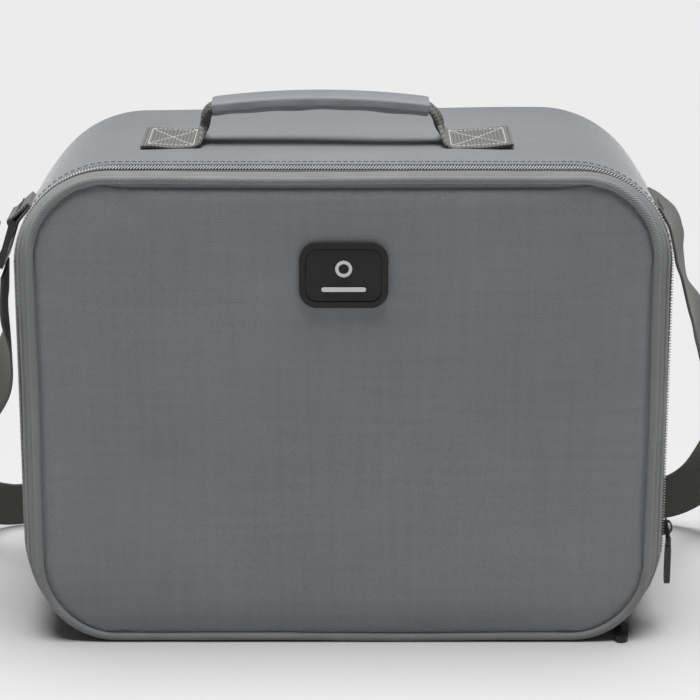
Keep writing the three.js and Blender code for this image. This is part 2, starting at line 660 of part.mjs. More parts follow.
const TAIL_ROUTE = [
  { at: vec(-175.6, -41.5, 207.7), width: vec(0, 1, 0.1) },
  { at: vec(-182.8, -41.5, 209.2), width: vec(0, 0.95, 0.3) },
  { at: vec(-193.8, -39.5, 204.7), width: vec(0.1, 0.85, 0.5) },
  { at: vec(-202.8, -36.5, 194.7), width: vec(0.2, 0.85, 0.4) },
  { at: vec(-207.8, -34.5, 181.7), width: vec(0.1, 0.95, 0.2) },
];
const TAB_ROOT = vec(-159.6, -41.5, 223);
const TAB_TIP = vec(-167.6, -41.5, 213.2);
const ADJUSTER_DIRECTION = vec(-0.3, 0, -0.954);

// Webbing of a constant width that turns with its stations.
function ribbon(stations, steps) {
  const centre = new THREE.CatmullRomCurve3(stations.map((s) => s.at), false, "centripetal");
  const turning = new THREE.CatmullRomCurve3(stations.map((s) => s.width), false, "catmullrom");
  const frames = Array.from({ length: steps + 1 }, (_, i) => {
    const t = i / steps;
    const tangent = centre.getTangent(t);
    const across = turning.getPoint(t);
    across.addScaledVector(tangent, -across.dot(tangent)).normalize();
    return { at: centre.getPoint(t), across, along: tangent.clone().cross(across) };
  });
  const [half, thick] = [STRAP_WIDTH / 2, STRAP_THICK / 2];
  return sweep(frames, rectangle(-half, half, -thick, thick));
}

// The left tab: webbing folded round the adjuster's top bar, both layers sewn into the corner's seam.
function strapTab() {
  const along = TAB_TIP.clone().sub(TAB_ROOT);
  const length = along.length();
  const frames = [
    { at: TAB_ROOT, across: vec(0, 1, 0), along: vec(along.z, 0, -along.x).normalize() },
    { at: TAB_TIP, across: vec(0, 1, 0), along: vec(along.z, 0, -along.x).normalize() },
  ];
  const half = STRAP_WIDTH / 2;
  const body = sweep(frames, stadiumBox(half, 2.4));
  const eye = new THREE.CylinderGeometry(1.7, 1.7, STRAP_WIDTH + 4, 16);
  const bar = TAB_TIP.clone().addScaledVector(along, -2.6 / length);
  return cut(body, eye.translate(bar.x, bar.y, bar.z));
}

const stadiumBox = (halfWidth, halfHeight) => rectangle(-halfWidth, halfWidth, -halfHeight, halfHeight);

// The ladder adjuster: a frame with a round top bar inside the tab, a middle bar and a lipped end.
function adjuster() {
  const [half, thick, length] = [STRAP_WIDTH / 2 + 3.5, 1.6, 24];
  const inner = STRAP_WIDTH / 2 + 0.6;
  const side = (y0, y1) => box(-thick, thick, y0, y1, -length, 1.2);
  const topBar = new THREE.CylinderGeometry(1.2, 1.2, 2 * half, 16);
  const middleBar = box(-1.2, 1.2, -half, half, -7.6, -4.6);
  const plate = box(-1.2, 1.2, -half, half, -length, -11.2);
  const lip = box(-2.6, thick, -half, half, -length, -length + 4.6);
  return joined(side(-half, -inner), side(inner, half), topBar, middleBar, plate, lip);
}

function buildStrap() {
  add("shoulder_strap", ribbon(STRAP_ROUTE, 110), COLOURS.webbing);
  add("strap_tail", ribbon(TAIL_ROUTE, 16), COLOURS.webbing);
  add("strap_tab", strapTab(), COLOURS.webbing);
  const fold = TAB_TIP.clone().sub(TAB_ROOT).normalize();
  const buckle = add("strap_adjuster", adjuster(), COLOURS.dark);
  buckle.position.copy(TAB_TIP).addScaledVector(fold, -2.6);
  buckle.rotation.y = Math.atan2(-ADJUSTER_DIRECTION.x, -ADJUSTER_DIRECTION.z);
}

// ---------- inside ----------

function buildInterior() {
  const floor = WALL + GAP;
  const wall = BACK - 8.5;
  const dividerX = 42;
  add("base_board", box(-104, 104, -48, 68, floor, floor + 2), COLOURS.dark);
  const onBoard = floor + 2 + GAP;
  add("floor_loop_strip", box(dividerX - 14, dividerX + 14, -46, 66, onBoard, onBoard + 1), COLOURS.lining);
  add("back_loop_strip", box(dividerX - 14, dividerX + 14, wall - 1, wall, 24, 222), COLOURS.lining);
  const shape = roundedRectangle(112, 196, 10);
  const flat = new THREE.ExtrudeGeometry(shape, { depth: 8, bevelEnabled: false, curveSegments: 6 });
  flat.applyMatrix4(new THREE.Matrix4().makeBasis(vec(0, 1, 0), vec(0, 0, 1), vec(1, 0, 0)));
  const low = onBoard + 1 + GAP;
  add("divider", flat.translate(dividerX - 4, 12, low + 98), COLOURS.lining);
  const strapZ = 118;
  const strap = (x0, x1, layer) =>
    box(x0, x1, wall - (layer + 1) * 1.5, wall - layer * 1.5 - GAP, strapZ, strapZ + STRAP_WIDTH);
  add("retaining_strap_hook", strap(-142, -52, 0), COLOURS.dark);
  add("retaining_strap_loop", strap(-78, 18, 1), COLOURS.dark);
}

buildBox();
buildZip();
buildLid();
buildHandle();
buildStrap();
buildInterior();

export default part;
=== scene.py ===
import math

import bmesh
import bpy
import numpy as np
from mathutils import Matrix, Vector


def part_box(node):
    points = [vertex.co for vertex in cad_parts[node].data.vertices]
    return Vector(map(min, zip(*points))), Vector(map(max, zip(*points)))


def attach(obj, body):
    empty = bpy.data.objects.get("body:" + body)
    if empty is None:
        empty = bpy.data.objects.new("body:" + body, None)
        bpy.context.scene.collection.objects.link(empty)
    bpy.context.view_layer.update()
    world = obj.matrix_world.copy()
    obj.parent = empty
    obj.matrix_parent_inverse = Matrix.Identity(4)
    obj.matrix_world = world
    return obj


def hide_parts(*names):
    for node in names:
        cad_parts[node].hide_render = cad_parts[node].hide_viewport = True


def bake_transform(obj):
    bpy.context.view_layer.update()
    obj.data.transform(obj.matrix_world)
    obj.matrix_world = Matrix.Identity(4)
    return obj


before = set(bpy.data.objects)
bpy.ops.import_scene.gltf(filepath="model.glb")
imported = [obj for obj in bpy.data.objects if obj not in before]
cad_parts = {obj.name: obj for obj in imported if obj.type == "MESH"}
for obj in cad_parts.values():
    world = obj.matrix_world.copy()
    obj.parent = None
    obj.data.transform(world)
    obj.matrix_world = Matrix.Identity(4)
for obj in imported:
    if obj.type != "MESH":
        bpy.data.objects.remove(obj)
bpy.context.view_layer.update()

# Shapes are worked out in millimetres, in the CAD's own frame, and made in metres.
MM = 0.001


def node_box(node):
    low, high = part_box(node)
    return np.array(low) / MM, np.array(high) / MM


def span(node, axis):
    low, high = node_box(node)
    return low[axis], high[axis]


SHELL_LOW, SHELL_HIGH = node_box("gusset_shell")
WIDTH = SHELL_HIGH[0] - SHELL_LOW[0]
HEIGHT = SHELL_HIGH[2]
BOX_FRONT, BACK = SHELL_LOW[1], SHELL_HIGH[1]
FRONT = span("lid_panel", 1)[0]
CORNER, FACE_CORNER, ZIP_CORNER = 58.0, 42.0, 51.0
ROLLED_EDGE = 6.0
PIPING_RADIUS = 2.0
PIPING_OFFSET = -2.5
PIPING_Y = FRONT + PIPING_RADIUS
BAND_FRONT, BAND_BACK = span("lid_band", 1)
ZIP_Y = FRONT + 21.7
TAPER_START, TAPER = FRONT + 16.0, 0.0033
COIL_SLOT = 0.7
COIL_WIDTH = 2.1
STITCH_PITCH = 3.4

# ---------- the case's outline ----------

BACKWARD, UPWARD = (0, 1.0, 0), (0, 0, 1.0)
CENTRE_X = WIDTH / 2 - CORNER
CENTRE_LOW, CENTRE_HIGH = CORNER, HEIGHT - CORNER
ARC = CORNER * math.pi / 2
SIDE = CENTRE_HIGH - CENTRE_LOW
RUNS = [
    (CENTRE_X, CENTRE_X, CENTRE_LOW),
    (SIDE, CENTRE_X, CENTRE_HIGH),
    (2 * CENTRE_X, -CENTRE_X, CENTRE_HIGH),
    (SIDE, -CENTRE_X, CENTRE_LOW),
    (CENTRE_X, 0.0, CENTRE_LOW),
]
PERIMETER = sum(run[0] for run in RUNS) + 4 * ARC
TOP_MIDDLE = PERIMETER / 2


def outline_at(distance):
    """Points (x, z) and outward normals round the outline, from the base's middle towards +X."""
    s = np.mod(np.asarray(distance, float), PERIMETER)
    point, normal = np.zeros((*s.shape, 2)), np.zeros((*s.shape, 2))
    begun = 0.0
    for i, (length, cx, cz) in enumerate(RUNS):
        angle = (i - 1) * math.pi / 2
        out = np.array([math.cos(angle), math.sin(angle)])
        along = np.array([-out[1], out[0]])
        on = (s >= begun - 1e-9) & (s <= begun + length + 1e-9)
        point[on] = np.array([cx, cz]) + CORNER * out - (begun + length - s[on])[:, None] * along
        normal[on] = out
        begun += length
        if i < len(RUNS) - 1:
            on = (s > begun) & (s < begun + ARC)
            turn = angle + (s[on] - begun) / CORNER
            normal[on] = np.stack([np.cos(turn), np.sin(turn)], -1)
            point[on] = np.array([cx, cz]) + CORNER * normal[on]
            begun += ARC
    return point, normal


def frames_at(distance):
    """Points on the outline in the plane y = 0, and the directions outwards there."""
    return (xyz(v[:, 0], 0, v[:, 1]) for v in outline_at(distance))


def xyz(x, y, z):
    """Points from their coordinates, each of them an array or one number."""
    return np.stack(np.broadcast_arrays(x, y, z), -1).astype(float)


def each(direction, points):
    """The same direction at every point."""
    return np.tile(direction, (len(points), 1))


def unit(vectors):
    return vectors / np.linalg.norm(vectors, axis=-1, keepdims=True)


def distances(at):
    """How far along the path each of its points lies."""
    return np.concatenate([[0], np.cumsum(np.linalg.norm(np.diff(at, axis=0), axis=1))])


def smooth(t):
    return t * t * (3 - 2 * t)


def bell(value, middle, spread):
    return np.exp(-(((value - middle) / spread) ** 2))


def plateau(value, low, high, edge):
    """1 between low and high, fading to 0 over edge on each side."""
    rise = np.clip((value - low + edge) / edge, 0, 1)
    fall = np.clip((high + edge - value) / edge, 0, 1)
    return smooth(rise) * smooth(fall)


def give(s, y):
    """How far the soft wall stands out of the CAD's flat one, at distance s round it and depth y."""
    (x, z), (nx, nz) = [np.moveaxis(a, -1, 0) for a in outline_at(s)]
    t = np.clip((y - BOX_FRONT) / (BACK - ROLLED_EDGE - BOX_FRONT), 0, 1)
    pillow = np.sin(math.pi * t) ** 0.8
    up, side = np.clip(nz, 0, 1), np.abs(nx)
    handle = plateau(x, -78, 58, 26)
    deeper = 0.7 + 0.6 * bell(x, 28, 34)
    lift = up * handle * (0.9 * bell(y, -33, 11) - 1.7 * deeper * bell(y, 6, 22))
    lift += up * 1.3 * bell(x, 95, 40) * bell(y, 60, 30) - up * 1.4 * bell(x, -110, 45) * bell(y, 62, 34)
    lift += up * 0.9 * pillow * plateau(x, -150, 150, 20)
    lift += side * pillow * (1.6 + 0.5 * np.sin(z / 21.0 + y / 34.0))
    ripple = np.sin(x / 13.7 + y / 19.0) * np.sin(y / 11.3 - x / 31.0) * np.sin(z / 17.0 + 1.3)
    lift += 0.22 * ripple * pillow * np.clip(up + side, 0, 1)
    return lift


def square_off(points):
    """Moves points of the drawn corners out along their rays, onto the corner's radius at their depth."""
    x, y, z = np.moveaxis(np.asarray(points, float), -1, 0)
    across, up = np.abs(x) - CENTRE_X, np.abs(z - HEIGHT / 2) - (CENTRE_HIGH - HEIGHT / 2)
    inside = (across > 0) & (up > 0)
    ahead = FACE_CORNER + (y - PIPING_Y) / (ZIP_Y - PIPING_Y) * (ZIP_CORNER - FACE_CORNER)
    behind = ZIP_CORNER + (y - ZIP_Y) / (BACK - ZIP_Y) * (CORNER - ZIP_CORNER)
    radius = np.where(y < ZIP_Y, ahead, behind)
    shift = CORNER - radius
    reach = np.hypot(across, up) + 1e-9
    c, s = across / reach, up / reach
    most, least = np.maximum(c, s), np.minimum(c, s)
    arc = shift * (c + s) + np.sqrt(np.clip(radius**2 - shift**2 * (1 - 2 * c * s), 0, None))
    straight = least * CORNER < most * shift
    grow = np.where(inside, np.where(straight, CORNER / np.where(inside, most, 1), arc) / CORNER, 1) - 1
    change = np.zeros_like(np.asarray(points, float))
    change[..., 0] = np.sign(x) * across * grow
    change[..., 2] = np.sign(z - HEIGHT / 2) * up * grow
    return change


def squared(obj):
    return move_points(obj, square_off)


def taper(points):
    """The lid is narrower at its face than at the zip: the change that draws its sides in."""
    forward = np.clip(TAPER_START - points[:, 1], 0, None)
    return xyz(-points[:, 0] * TAPER * forward, 0, 0)


# ---------- mesh helpers ----------


def close_mesh(bm, mesh, sharp):
    """Writes bm back to its mesh, with faces turned outwards and shaded smooth except at sharp angles."""
    bmesh.ops.recalc_face_normals(bm, faces=bm.faces)
    bm.to_mesh(mesh)
    bm.free()
    mesh.shade_smooth()
    if sharp:
        mesh.set_sharp_from_angle(angle=math.radians(sharp))


def make_object(name, points, faces, uvs=None, sharp=38):
    """A smooth-shaded mesh object from points in millimetres, with all its faces turned outwards."""
    mesh = bpy.data.meshes.new(name)
    mesh.from_pydata((np.asarray(points, float).reshape(-1, 3) * MM).tolist(), [], faces)
    if uvs is not None:
        layer = mesh.uv_layers.new(name="cloth")
        layer.data.foreach_set("uv", (np.asarray(uvs, float) * MM).astype(np.float32).ravel())
    bm = bmesh.new()
    bm.from_mesh(mesh)
    close_mesh(bm, mesh, sharp)
    obj = bpy.data.objects.new(name, mesh)
    bpy.context.scene.collection.objects.link(obj)
    return obj


def sweep(name, at, a, b, s, profile, closed=False, shape=None, sharp=38):
    """Sweeps a closed profile of (a, b) points through frames at, a, b at distances s along the path.
    shape(s, a, b) may bend the profile on the way."""
    profile = np.asarray(profile, float)
    at, a, b, s = (np.asarray(v, float) for v in (at, a, b, s))
    n, m = len(at), len(profile)
    across = np.broadcast_to(profile[:, 0], (n, m))
    along = np.broadcast_to(profile[:, 1], (n, m))
    if shape:
        across, along = shape(s[:, None] + 0 * across, across, along)
    points = at[:, None] + a[:, None] * across[..., None] + b[:, None] * along[..., None]
    edge = np.linalg.norm(np.roll(profile, -1, 0) - profile, axis=1)
    girth = np.concatenate([[0], np.cumsum(edge)])
    bands = n if closed else n - 1
    i, j = np.meshgrid(np.arange(bands), np.arange(m), indexing="ij")
    k, l = (i + 1) % n, (j + 1) % m
    quads = np.stack([i * m + j, k * m + j, k * m + l, i * m + l], -1).reshape(-1, 4)
    reach = np.append(s, s[-1] + (s[-1] - s[-2]))
    u = np.stack([reach[i], reach[i + 1], reach[i + 1], reach[i]], -1)
    v = np.stack([girth[j], girth[j], girth[j + 1], girth[j + 1]], -1)
    faces, uvs = quads.tolist(), np.stack([u, v], -1).reshape(-1, 2)
    if not closed:
        faces += [list(range(m)), [(n - 1) * m + q for q in range(m)]]
        uvs = np.concatenate([uvs, profile, profile])
    return make_object(name, points, faces, uvs, sharp)


def ring(name, profile, step=3.0, start=None, shape=None, sharp=38):
    """Sweeps (outward, y) points round the outline: all the way, or over the top from a start distance."""
    if start is None:
        count = round(PERIMETER / step)
        s = np.arange(count) * PERIMETER / count
    else:
        s = np.linspace(start, PERIMETER - start, round((PERIMETER - 2 * start) / step))
    at, out = frames_at(s)
    return squared(sweep(name, at, out, each(BACKWARD, at), s, profile, start is None, shape, sharp))


def lens(name, rings, step=4.0, sharp=38):
    """A closed form in the outline's shape from (inset, y) rings: from a rim to the middle and back."""
    count = round(PERIMETER / step)
    s = np.arange(count) * PERIMETER / count
    point, normal = outline_at(s)
    middle = np.array([0, HEIGHT / 2])
    parallel = 40  # insets up to this keep the rim's distance, and deeper ones shrink to the middle
    faces = []

    def at_inset(inset, y):
        near = point - normal * min(inset, parallel)
        near = middle + (near - middle) * (1 - max(0, inset - parallel) / (HEIGHT / 2 - parallel))
        return xyz(near[:, 0], y, near[:, 1])

    points = np.concatenate([at_inset(inset, y) for inset, y in rings])
    for r in range(len(rings)):
        here, there = r * count, ((r + 1) % len(rings)) * count
        if rings[r][0] >= HEIGHT / 2 - 1 and rings[(r + 1) % len(rings)][0] >= HEIGHT / 2 - 1:
            continue
        for i in range(count):
            k = (i + 1) % count
            faces.append([here + i, here + k, there + k, there + i])
    obj = make_object(name, points, faces, None, 0)
    bm = bmesh.new()
    bm.from_mesh(obj.data)
    bmesh.ops.remove_doubles(bm, verts=bm.verts, dist=1e-5)
    bmesh.ops.dissolve_degenerate(bm, edges=bm.edges, dist=1e-6)
    holes = [e for e in bm.edges if e.is_boundary]
    if holes:
        bmesh.ops.holes_fill(bm, edges=holes, sides=0)
    close_mesh(bm, obj.data, sharp)
    return obj


def circle(radius, middle=(0, 0), sides=16):
    angle = np.arange(sides) / sides * 2 * math.pi
    return np.stack([middle[0] + radius * np.cos(angle), middle[1] + radius * np.sin(angle)], -1)


def band_profile(low, high, thin, thick, points=9):
    """A webbing's cross-section (across, up): flat faces, rounded selvages."""
    half, radius = (high - low) / 2, thick / 2
    angle = np.linspace(-math.pi / 2, math.pi / 2, 5)
    right = np.stack([half - radius + radius * np.cos(angle), radius * np.sin(angle)], -1)
    top = np.linspace(half - radius, radius - half, points)[1:-1]
    top = np.stack([top, np.full(points - 2, thin / 2)], -1)
    profile = np.concatenate([right, top, -right, -top])
    return profile + np.array([(low + high) / 2, 0])


def apply_modifiers(obj):
    depsgraph = bpy.context.evaluated_depsgraph_get()
    mesh = bpy.data.meshes.new_from_object(obj.evaluated_get(depsgraph))
    obj.modifiers.clear()
    obj.data = mesh
    return mesh


def coordinates(mesh):
    co = np.zeros(len(mesh.vertices) * 3, np.float32)
    mesh.vertices.foreach_get("co", co)
    return co.reshape(-1, 3).astype(float)


def remesh(obj, voxel):
    modifier = obj.modifiers.new("remesh", "REMESH")
    modifier.mode, modifier.voxel_size = "VOXEL", voxel * MM
    apply_modifiers(obj).shade_smooth()


def inflate(obj, hold, cap, voxel=5.0, pressure=4.0, frames=20):
    """Fills a pad like a cushion, as cloth under pressure. Where hold(points) is 1, the cloth stays put.
    Each point stays within cap of where it began."""
    remesh(obj, voxel)
    before = coordinates(obj.data)
    grip = obj.vertex_groups.new(name="hold")
    for i, w in enumerate(hold(before / MM)):
        if w > 0.01:
            grip.add([i], float(w), "REPLACE")
    cloth = obj.modifiers.new("cloth", "CLOTH")
    cloth.settings.quality = 6
    cloth.settings.mass = 0.3
    cloth.settings.tension_stiffness = cloth.settings.compression_stiffness = 12
    cloth.settings.shear_stiffness = 5
    cloth.settings.bending_stiffness = 0.6
    cloth.settings.use_pressure = True
    cloth.settings.uniform_pressure_force = pressure
    cloth.settings.vertex_group_mass = "hold"
    cloth.settings.effector_weights.gravity = 0
    cloth.point_cache.frame_start, cloth.point_cache.frame_end = 1, frames
    for number in range(1, frames + 1):
        bpy.context.scene.frame_set(number)
    mesh = apply_modifiers(obj)
    obj.vertex_groups.clear()
    moved = coordinates(mesh) - before
    far = np.linalg.norm(moved, axis=1, keepdims=True) + 1e-12
    limit = cap * MM * np.tanh(far / (cap * MM)) / far
    mesh.vertices.foreach_set("co", (before + moved * limit).astype(np.float32).ravel())
    bpy.context.scene.frame_set(1)
    fine = obj.modifiers.new("fine", "SUBSURF")
    fine.levels = fine.render_levels = 1
    apply_modifiers(obj).shade_smooth()


def move_points(obj, change):
    """Moves obj's points, in millimetres, by change(points)."""
    co = coordinates(obj.data) / MM
    obj.data.vertices.foreach_set("co", ((co + change(co)) * MM).astype(np.float32).ravel())
    obj.data.update()
    return obj


def stitches(name, points, normals, length=2.6, radius=0.32, sink=0.1):
    """One thread's stitches along a path of points half a pitch apart: every second gap is a stitch."""
    points, normals = np.asarray(points, float), np.asarray(normals, float)
    verts, faces = [], []
    # Along the stitch: place, girth and rise
    sections = [(-0.5, 0.35, -0.6), (-0.36, 0.9, 0.0), (0.0, 1.0, 0.25),
                (0.36, 0.9, 0.0), (0.5, 0.35, -0.6)]
    sides = 6
    for i in range(1, len(points) - 1, 2):
        along = points[i + 1] - points[i - 1]
        along /= np.linalg.norm(along) + 1e-9
        up = normals[i] / np.linalg.norm(normals[i])
        across = np.cross(along, up)
        base = len(verts)
        for t, girth, rise in sections:
            centre = points[i] + along * t * length + up * (radius * (rise + 0.4) - sink)
            for q in range(sides):
                angle = q / sides * 2 * math.pi
                verts.append(centre + radius * girth * (math.cos(angle) * across + math.sin(angle) * up))
        for r in range(len(sections) - 1):
            for q in range(sides):
                k = (q + 1) % sides
                faces.append([base + r * sides + q, base + r * sides + k,
                              base + (r + 1) * sides + k, base + (r + 1) * sides + q])
        faces.append([base + q for q in range(sides)])
        faces.append([base + (len(sections) - 1) * sides + q for q in range(sides)])
    return make_object(name, verts, faces, None, 60)


def ring_stitches(name, outward, y, start=0.0, pitch=STITCH_PITCH, soft=True):
    """Stitches round the outline, kept just clear of the table."""
    count = 2 * round((PERIMETER - 2 * start) / pitch)
    s = np.linspace(start, PERIMETER - start, count)
    at, normal = frames_at(s)
    at += normal * np.reshape(outward + (give(s, y) if soft else 0), (-1, 1))
    at[:, 1] = y
    at += square_off(at)
    at[:, 2] = np.maximum(at[:, 2], 0.5)
    return stitches(name, at, normal)


# ---------- materials ----------


def linear(r, g, b):
    """A colour given as it looks on screen, 0 to 255, as a shader takes it."""
    def channel(v):
        v /= 255
        return v / 12.92 if v <= 0.04045 else ((v + 0.055) / 1.055) ** 2.4
    return (channel(r), channel(g), channel(b), 1.0)


def shade(colour, factor):
    return (*[min(1.0, c * factor) for c in colour[:3]], 1.0)


class Nodes:
    """One material's node tree. Inputs are numbers, colours or other nodes' outputs."""

    def __init__(self, name, roughness=0.8, specular=0.5):
        self.material = bpy.data.materials.new(name)
        self.material.use_nodes = True
        self.tree = self.material.node_tree
        self.shader = self.tree.nodes["Principled BSDF"]
        self.shader.inputs["Roughness"].default_value = roughness
        self.shader.inputs["Specular IOR Level"].default_value = specular

    def feed(self, socket, value):
        if isinstance(value, bpy.types.NodeSocket):
            self.tree.links.new(value, socket)
        else:
            socket.default_value = value

    def node(self, kind, inputs, **settings):
        made = self.tree.nodes.new("ShaderNode" + kind)
        for key, value in settings.items():
            setattr(made, key, value)
        for key, value in inputs.items():
            self.feed(made.inputs[key], value)
        return made

    def math(self, operation, a, b=0.0):
        return self.node("Math", {0: a, 1: b}, operation=operation).outputs[0]

    def add(self, a, b):
        return self.math("ADD", a, b)

    def minus(self, a, b):
        return self.math("SUBTRACT", a, b)

    def times(self, a, b):
        return self.math("MULTIPLY", a, b)

    def mix(self, factor, a, b):
        return self.node("Mix", {0: factor, 6: a, 7: b}, data_type="RGBA").outputs[2]

    def noise(self, vector, scale, detail=3.0, stretch=(1, 1, 1)):
        placed = self.node("Mapping", {0: vector, 3: stretch}).outputs[0]
        return self.node("TexNoise", {"Vector": placed, "Scale": scale, "Detail": detail}).outputs[0]

    def ramp(self, value, low, high, to_low=0.0, to_high=1.0):
        made = self.node("MapRange", {0: value, 1: low, 2: high, 3: to_low, 4: to_high})
        return made.outputs[0]

    def place(self, source):
        """(vector, u, v): the cloth's own directions in metres."""
        if source == "uv":
            vector = self.node("UVMap", {}, uv_map="cloth").outputs[0]
        else:
            vector = self.node("TexCoord", {}).outputs["Object"]
        parts = self.node("SeparateXYZ", {0: vector}).outputs
        if source == "uv":
            return vector, parts[0], parts[1]
        if source == "side":
            return vector, parts[1], parts[2]
        if source == "top":
            return vector, parts[0], parts[1]
        return vector, parts[0], self.add(parts[2], parts[1])

    def wave(self, value, period):
        return self.math("SINE", self.times(value, 2 * math.pi / period))

    def bump(self, height, distance, strength=0.6, then=None):
        inputs = {"Height": height, "Distance": distance, "Strength": strength}
        if then is not None:
            inputs["Normal"] = then
        return self.node("Bump", inputs).outputs[0]

    def finish(self, colour, normal=None, roughness=None):
        self.feed(self.shader.inputs["Base Color"], colour)
        if normal is not None:
            self.feed(self.shader.inputs["Normal"], normal)
        if roughness is not None:
            self.feed(self.shader.inputs["Roughness"], roughness)
        return self.material


def woven(name, colour, source="uv", pitch=0.8, contrast=0.32, relief=0.22, sheen=0.9, mottle=0.06):
    """Plain-weave polyester: yarns over and under, uneven yarns, a faint mottle and fuzz."""
    n = Nodes(name, roughness=0.88, specular=0.25)
    vector, u, v = n.place(source)
    wander = n.times(n.minus(n.noise(vector, 160, 2), 0.5), 0.0012)
    u, v = n.add(u, wander), n.add(v, wander)
    period = 2 * pitch * MM
    crossing = n.times(n.wave(u, period), n.wave(v, period))
    yarn = n.math("POWER", n.math("ABSOLUTE", crossing), 0.55)
    weft = n.ramp(crossing, -0.4, 0.4, -0.35, 0.35)
    streak = n.add(n.noise(vector, 260, 2, (1, 1, 0.06)), n.noise(vector, 260, 2, (0.06, 1, 1)))
    speck = n.noise(vector, 1400, 2)
    level = n.times(yarn, 0.5)
    level = n.add(level, n.times(weft, 0.9))
    level = n.add(level, n.times(n.minus(streak, 1.0), 0.35))
    level = n.add(level, n.times(n.minus(speck, 0.5), 0.9))
    cloud = n.ramp(n.noise(vector, 11, 4), 0.3, 0.7, 1 - mottle, 1 + mottle)
    tone = n.mix(n.ramp(level, -0.35, 0.9), shade(colour, 1 - contrast), shade(colour, 1 + contrast * 0.75))
    tone = n.node("VectorMath", {0: tone, 3: cloud}, operation="SCALE").outputs[0]
    height = n.add(yarn, n.times(speck, 0.25))
    n.shader.inputs["Sheen Weight"].default_value = sheen
    n.shader.inputs["Sheen Roughness"].default_value = 0.45
    rough = n.ramp(n.noise(vector, 30, 3), 0.3, 0.7, 0.82, 0.94)
    return n.finish(tone, n.bump(height, relief * MM, 0.55), rough)


def webbing(name, colour, rib=1.5, contrast=0.3, source="uv", relief=0.35):
    """Narrow webbing: plump ribs that step over from warp to warp, with paler worn patches."""
    n = Nodes(name, roughness=0.8, specular=0.3)
    vector, u, v = n.place(source)
    lane = n.times(n.wave(v, 2.6 * MM), 0.5)
    stepped = n.add(n.times(u, 2 * math.pi / (rib * MM)), n.times(lane, 2.2))
    ribs = n.ramp(n.math("SINE", stepped), -1, 1)
    warp = n.ramp(n.wave(v, 1.3 * MM), -1, 1)
    height = n.times(n.add(ribs, 0.35), n.add(n.times(warp, 0.5), 0.5))
    fuzz = n.noise(vector, 900, 3)
    worn = n.noise(vector, 25, 3)
    level = n.add(n.times(height, 0.8), n.times(fuzz, 0.5))
    tone = n.mix(n.ramp(level, 0.2, 1.25), shade(colour, 1 - contrast), shade(colour, 1 + contrast))
    tone = n.mix(n.ramp(worn, 0.45, 0.75, 0, 0.35), tone, shade(colour, 1.35))
    n.shader.inputs["Sheen Weight"].default_value = 0.2
    return n.finish(tone, n.bump(height, relief * MM, 0.7), n.ramp(fuzz, 0.3, 0.7, 0.7, 0.9))


def bias_binding(name, colour, period=1.5):
    """Binding cut on the bias: fine diagonal yarn lines, rubbed a little paler in places."""
    n = Nodes(name, roughness=0.78, specular=0.35)
    vector, u, v = n.place("uv")
    slant = n.wave(n.add(u, v), period * MM)
    cross = n.wave(n.minus(u, v), period * MM)
    grain = n.add(n.times(slant, 0.7), n.times(cross, 0.3))
    speck = n.noise(vector, 1100, 2)
    height = n.ramp(grain, -1, 1)
    rub = n.ramp(n.noise(vector, 45, 4), 0.42, 0.72, 0, 0.5)
    tone = n.mix(n.add(n.times(height, 0.7), n.times(speck, 0.4)),
                 shade(colour, 0.6), shade(colour, 1.25))
    tone = n.mix(rub, tone, shade(colour, 1.22))
    n.shader.inputs["Sheen Weight"].default_value = 0.2
    return n.finish(tone, n.bump(height, 0.4 * MM, 0.8), n.ramp(speck, 0.3, 0.7, 0.7, 0.85))


def zip_tape(name, colour):
    n = Nodes(name, roughness=0.8, specular=0.3)
    vector, u, v = n.place("uv")
    fold = n.math("PINGPONG", v, 1.2 * MM)
    height = n.ramp(n.wave(n.add(u, fold), 0.9 * MM), -1, 1)
    speck = n.noise(vector, 1200, 2)
    tone = n.mix(n.add(n.times(height, 0.6), n.times(speck, 0.4)),
                 shade(colour, 0.7), shade(colour, 1.2))
    return n.finish(tone, n.bump(height, 0.15 * MM, 0.6), n.ramp(speck, 0.3, 0.7, 0.74, 0.88))


def moulded(name, colour, roughness, grain=0.05, scale=700, specular=0.5, wear=0.2, metallic=0.0):
    """Moulded plastic, rubber or lacquered metal: fine grain, handling marks and paler rubbed patches."""
    n = Nodes(name, roughness=roughness, specular=specular)
    vector = n.place("object")[0]
    fine, smudge = n.noise(vector, scale, 3), n.noise(vector, 90, 4)
    tone = n.mix(n.ramp(smudge, 0.45, 0.75, 0, wear), colour, shade(colour, 2.0))
    tone = n.mix(n.ramp(fine, 0.5, 0.8, 0, 0.25), tone, shade(colour, 1.4))
    n.shader.inputs["Metallic"].default_value = metallic
    rough = n.ramp(n.add(n.times(smudge, 0.7), n.times(fine, 0.3)),
                   0.3, 0.7, max(0.05, roughness - 0.1), roughness + 0.12)
    return n.finish(tone, n.bump(fine, grain * MM, 0.5), rough)


def thread(name, colour):
    n = Nodes(name, roughness=0.6, specular=0.4)
    vector = n.place("object")[0]
    fine = n.noise(vector, 1600, 2)
    tone = n.mix(n.ramp(fine, 0.3, 0.7), shade(colour, 0.75), shade(colour, 1.15))
    return n.finish(tone, n.bump(fine, 0.08 * MM, 0.6))


def floor_material():
    n = Nodes("pale_floor", roughness=0.7, specular=0.2)
    vector = n.place("object")[0]
    cloud = n.noise(vector, 1.5, 2)
    tone = n.mix(cloud, (0.52, 0.52, 0.52, 1), (0.535, 0.535, 0.535, 1))
    return n.finish(tone, n.bump(n.noise(vector, 400, 2), 0.02 * MM, 0.2))


GREY = linear(135, 138, 142)
TRIM = linear(134, 135, 136)
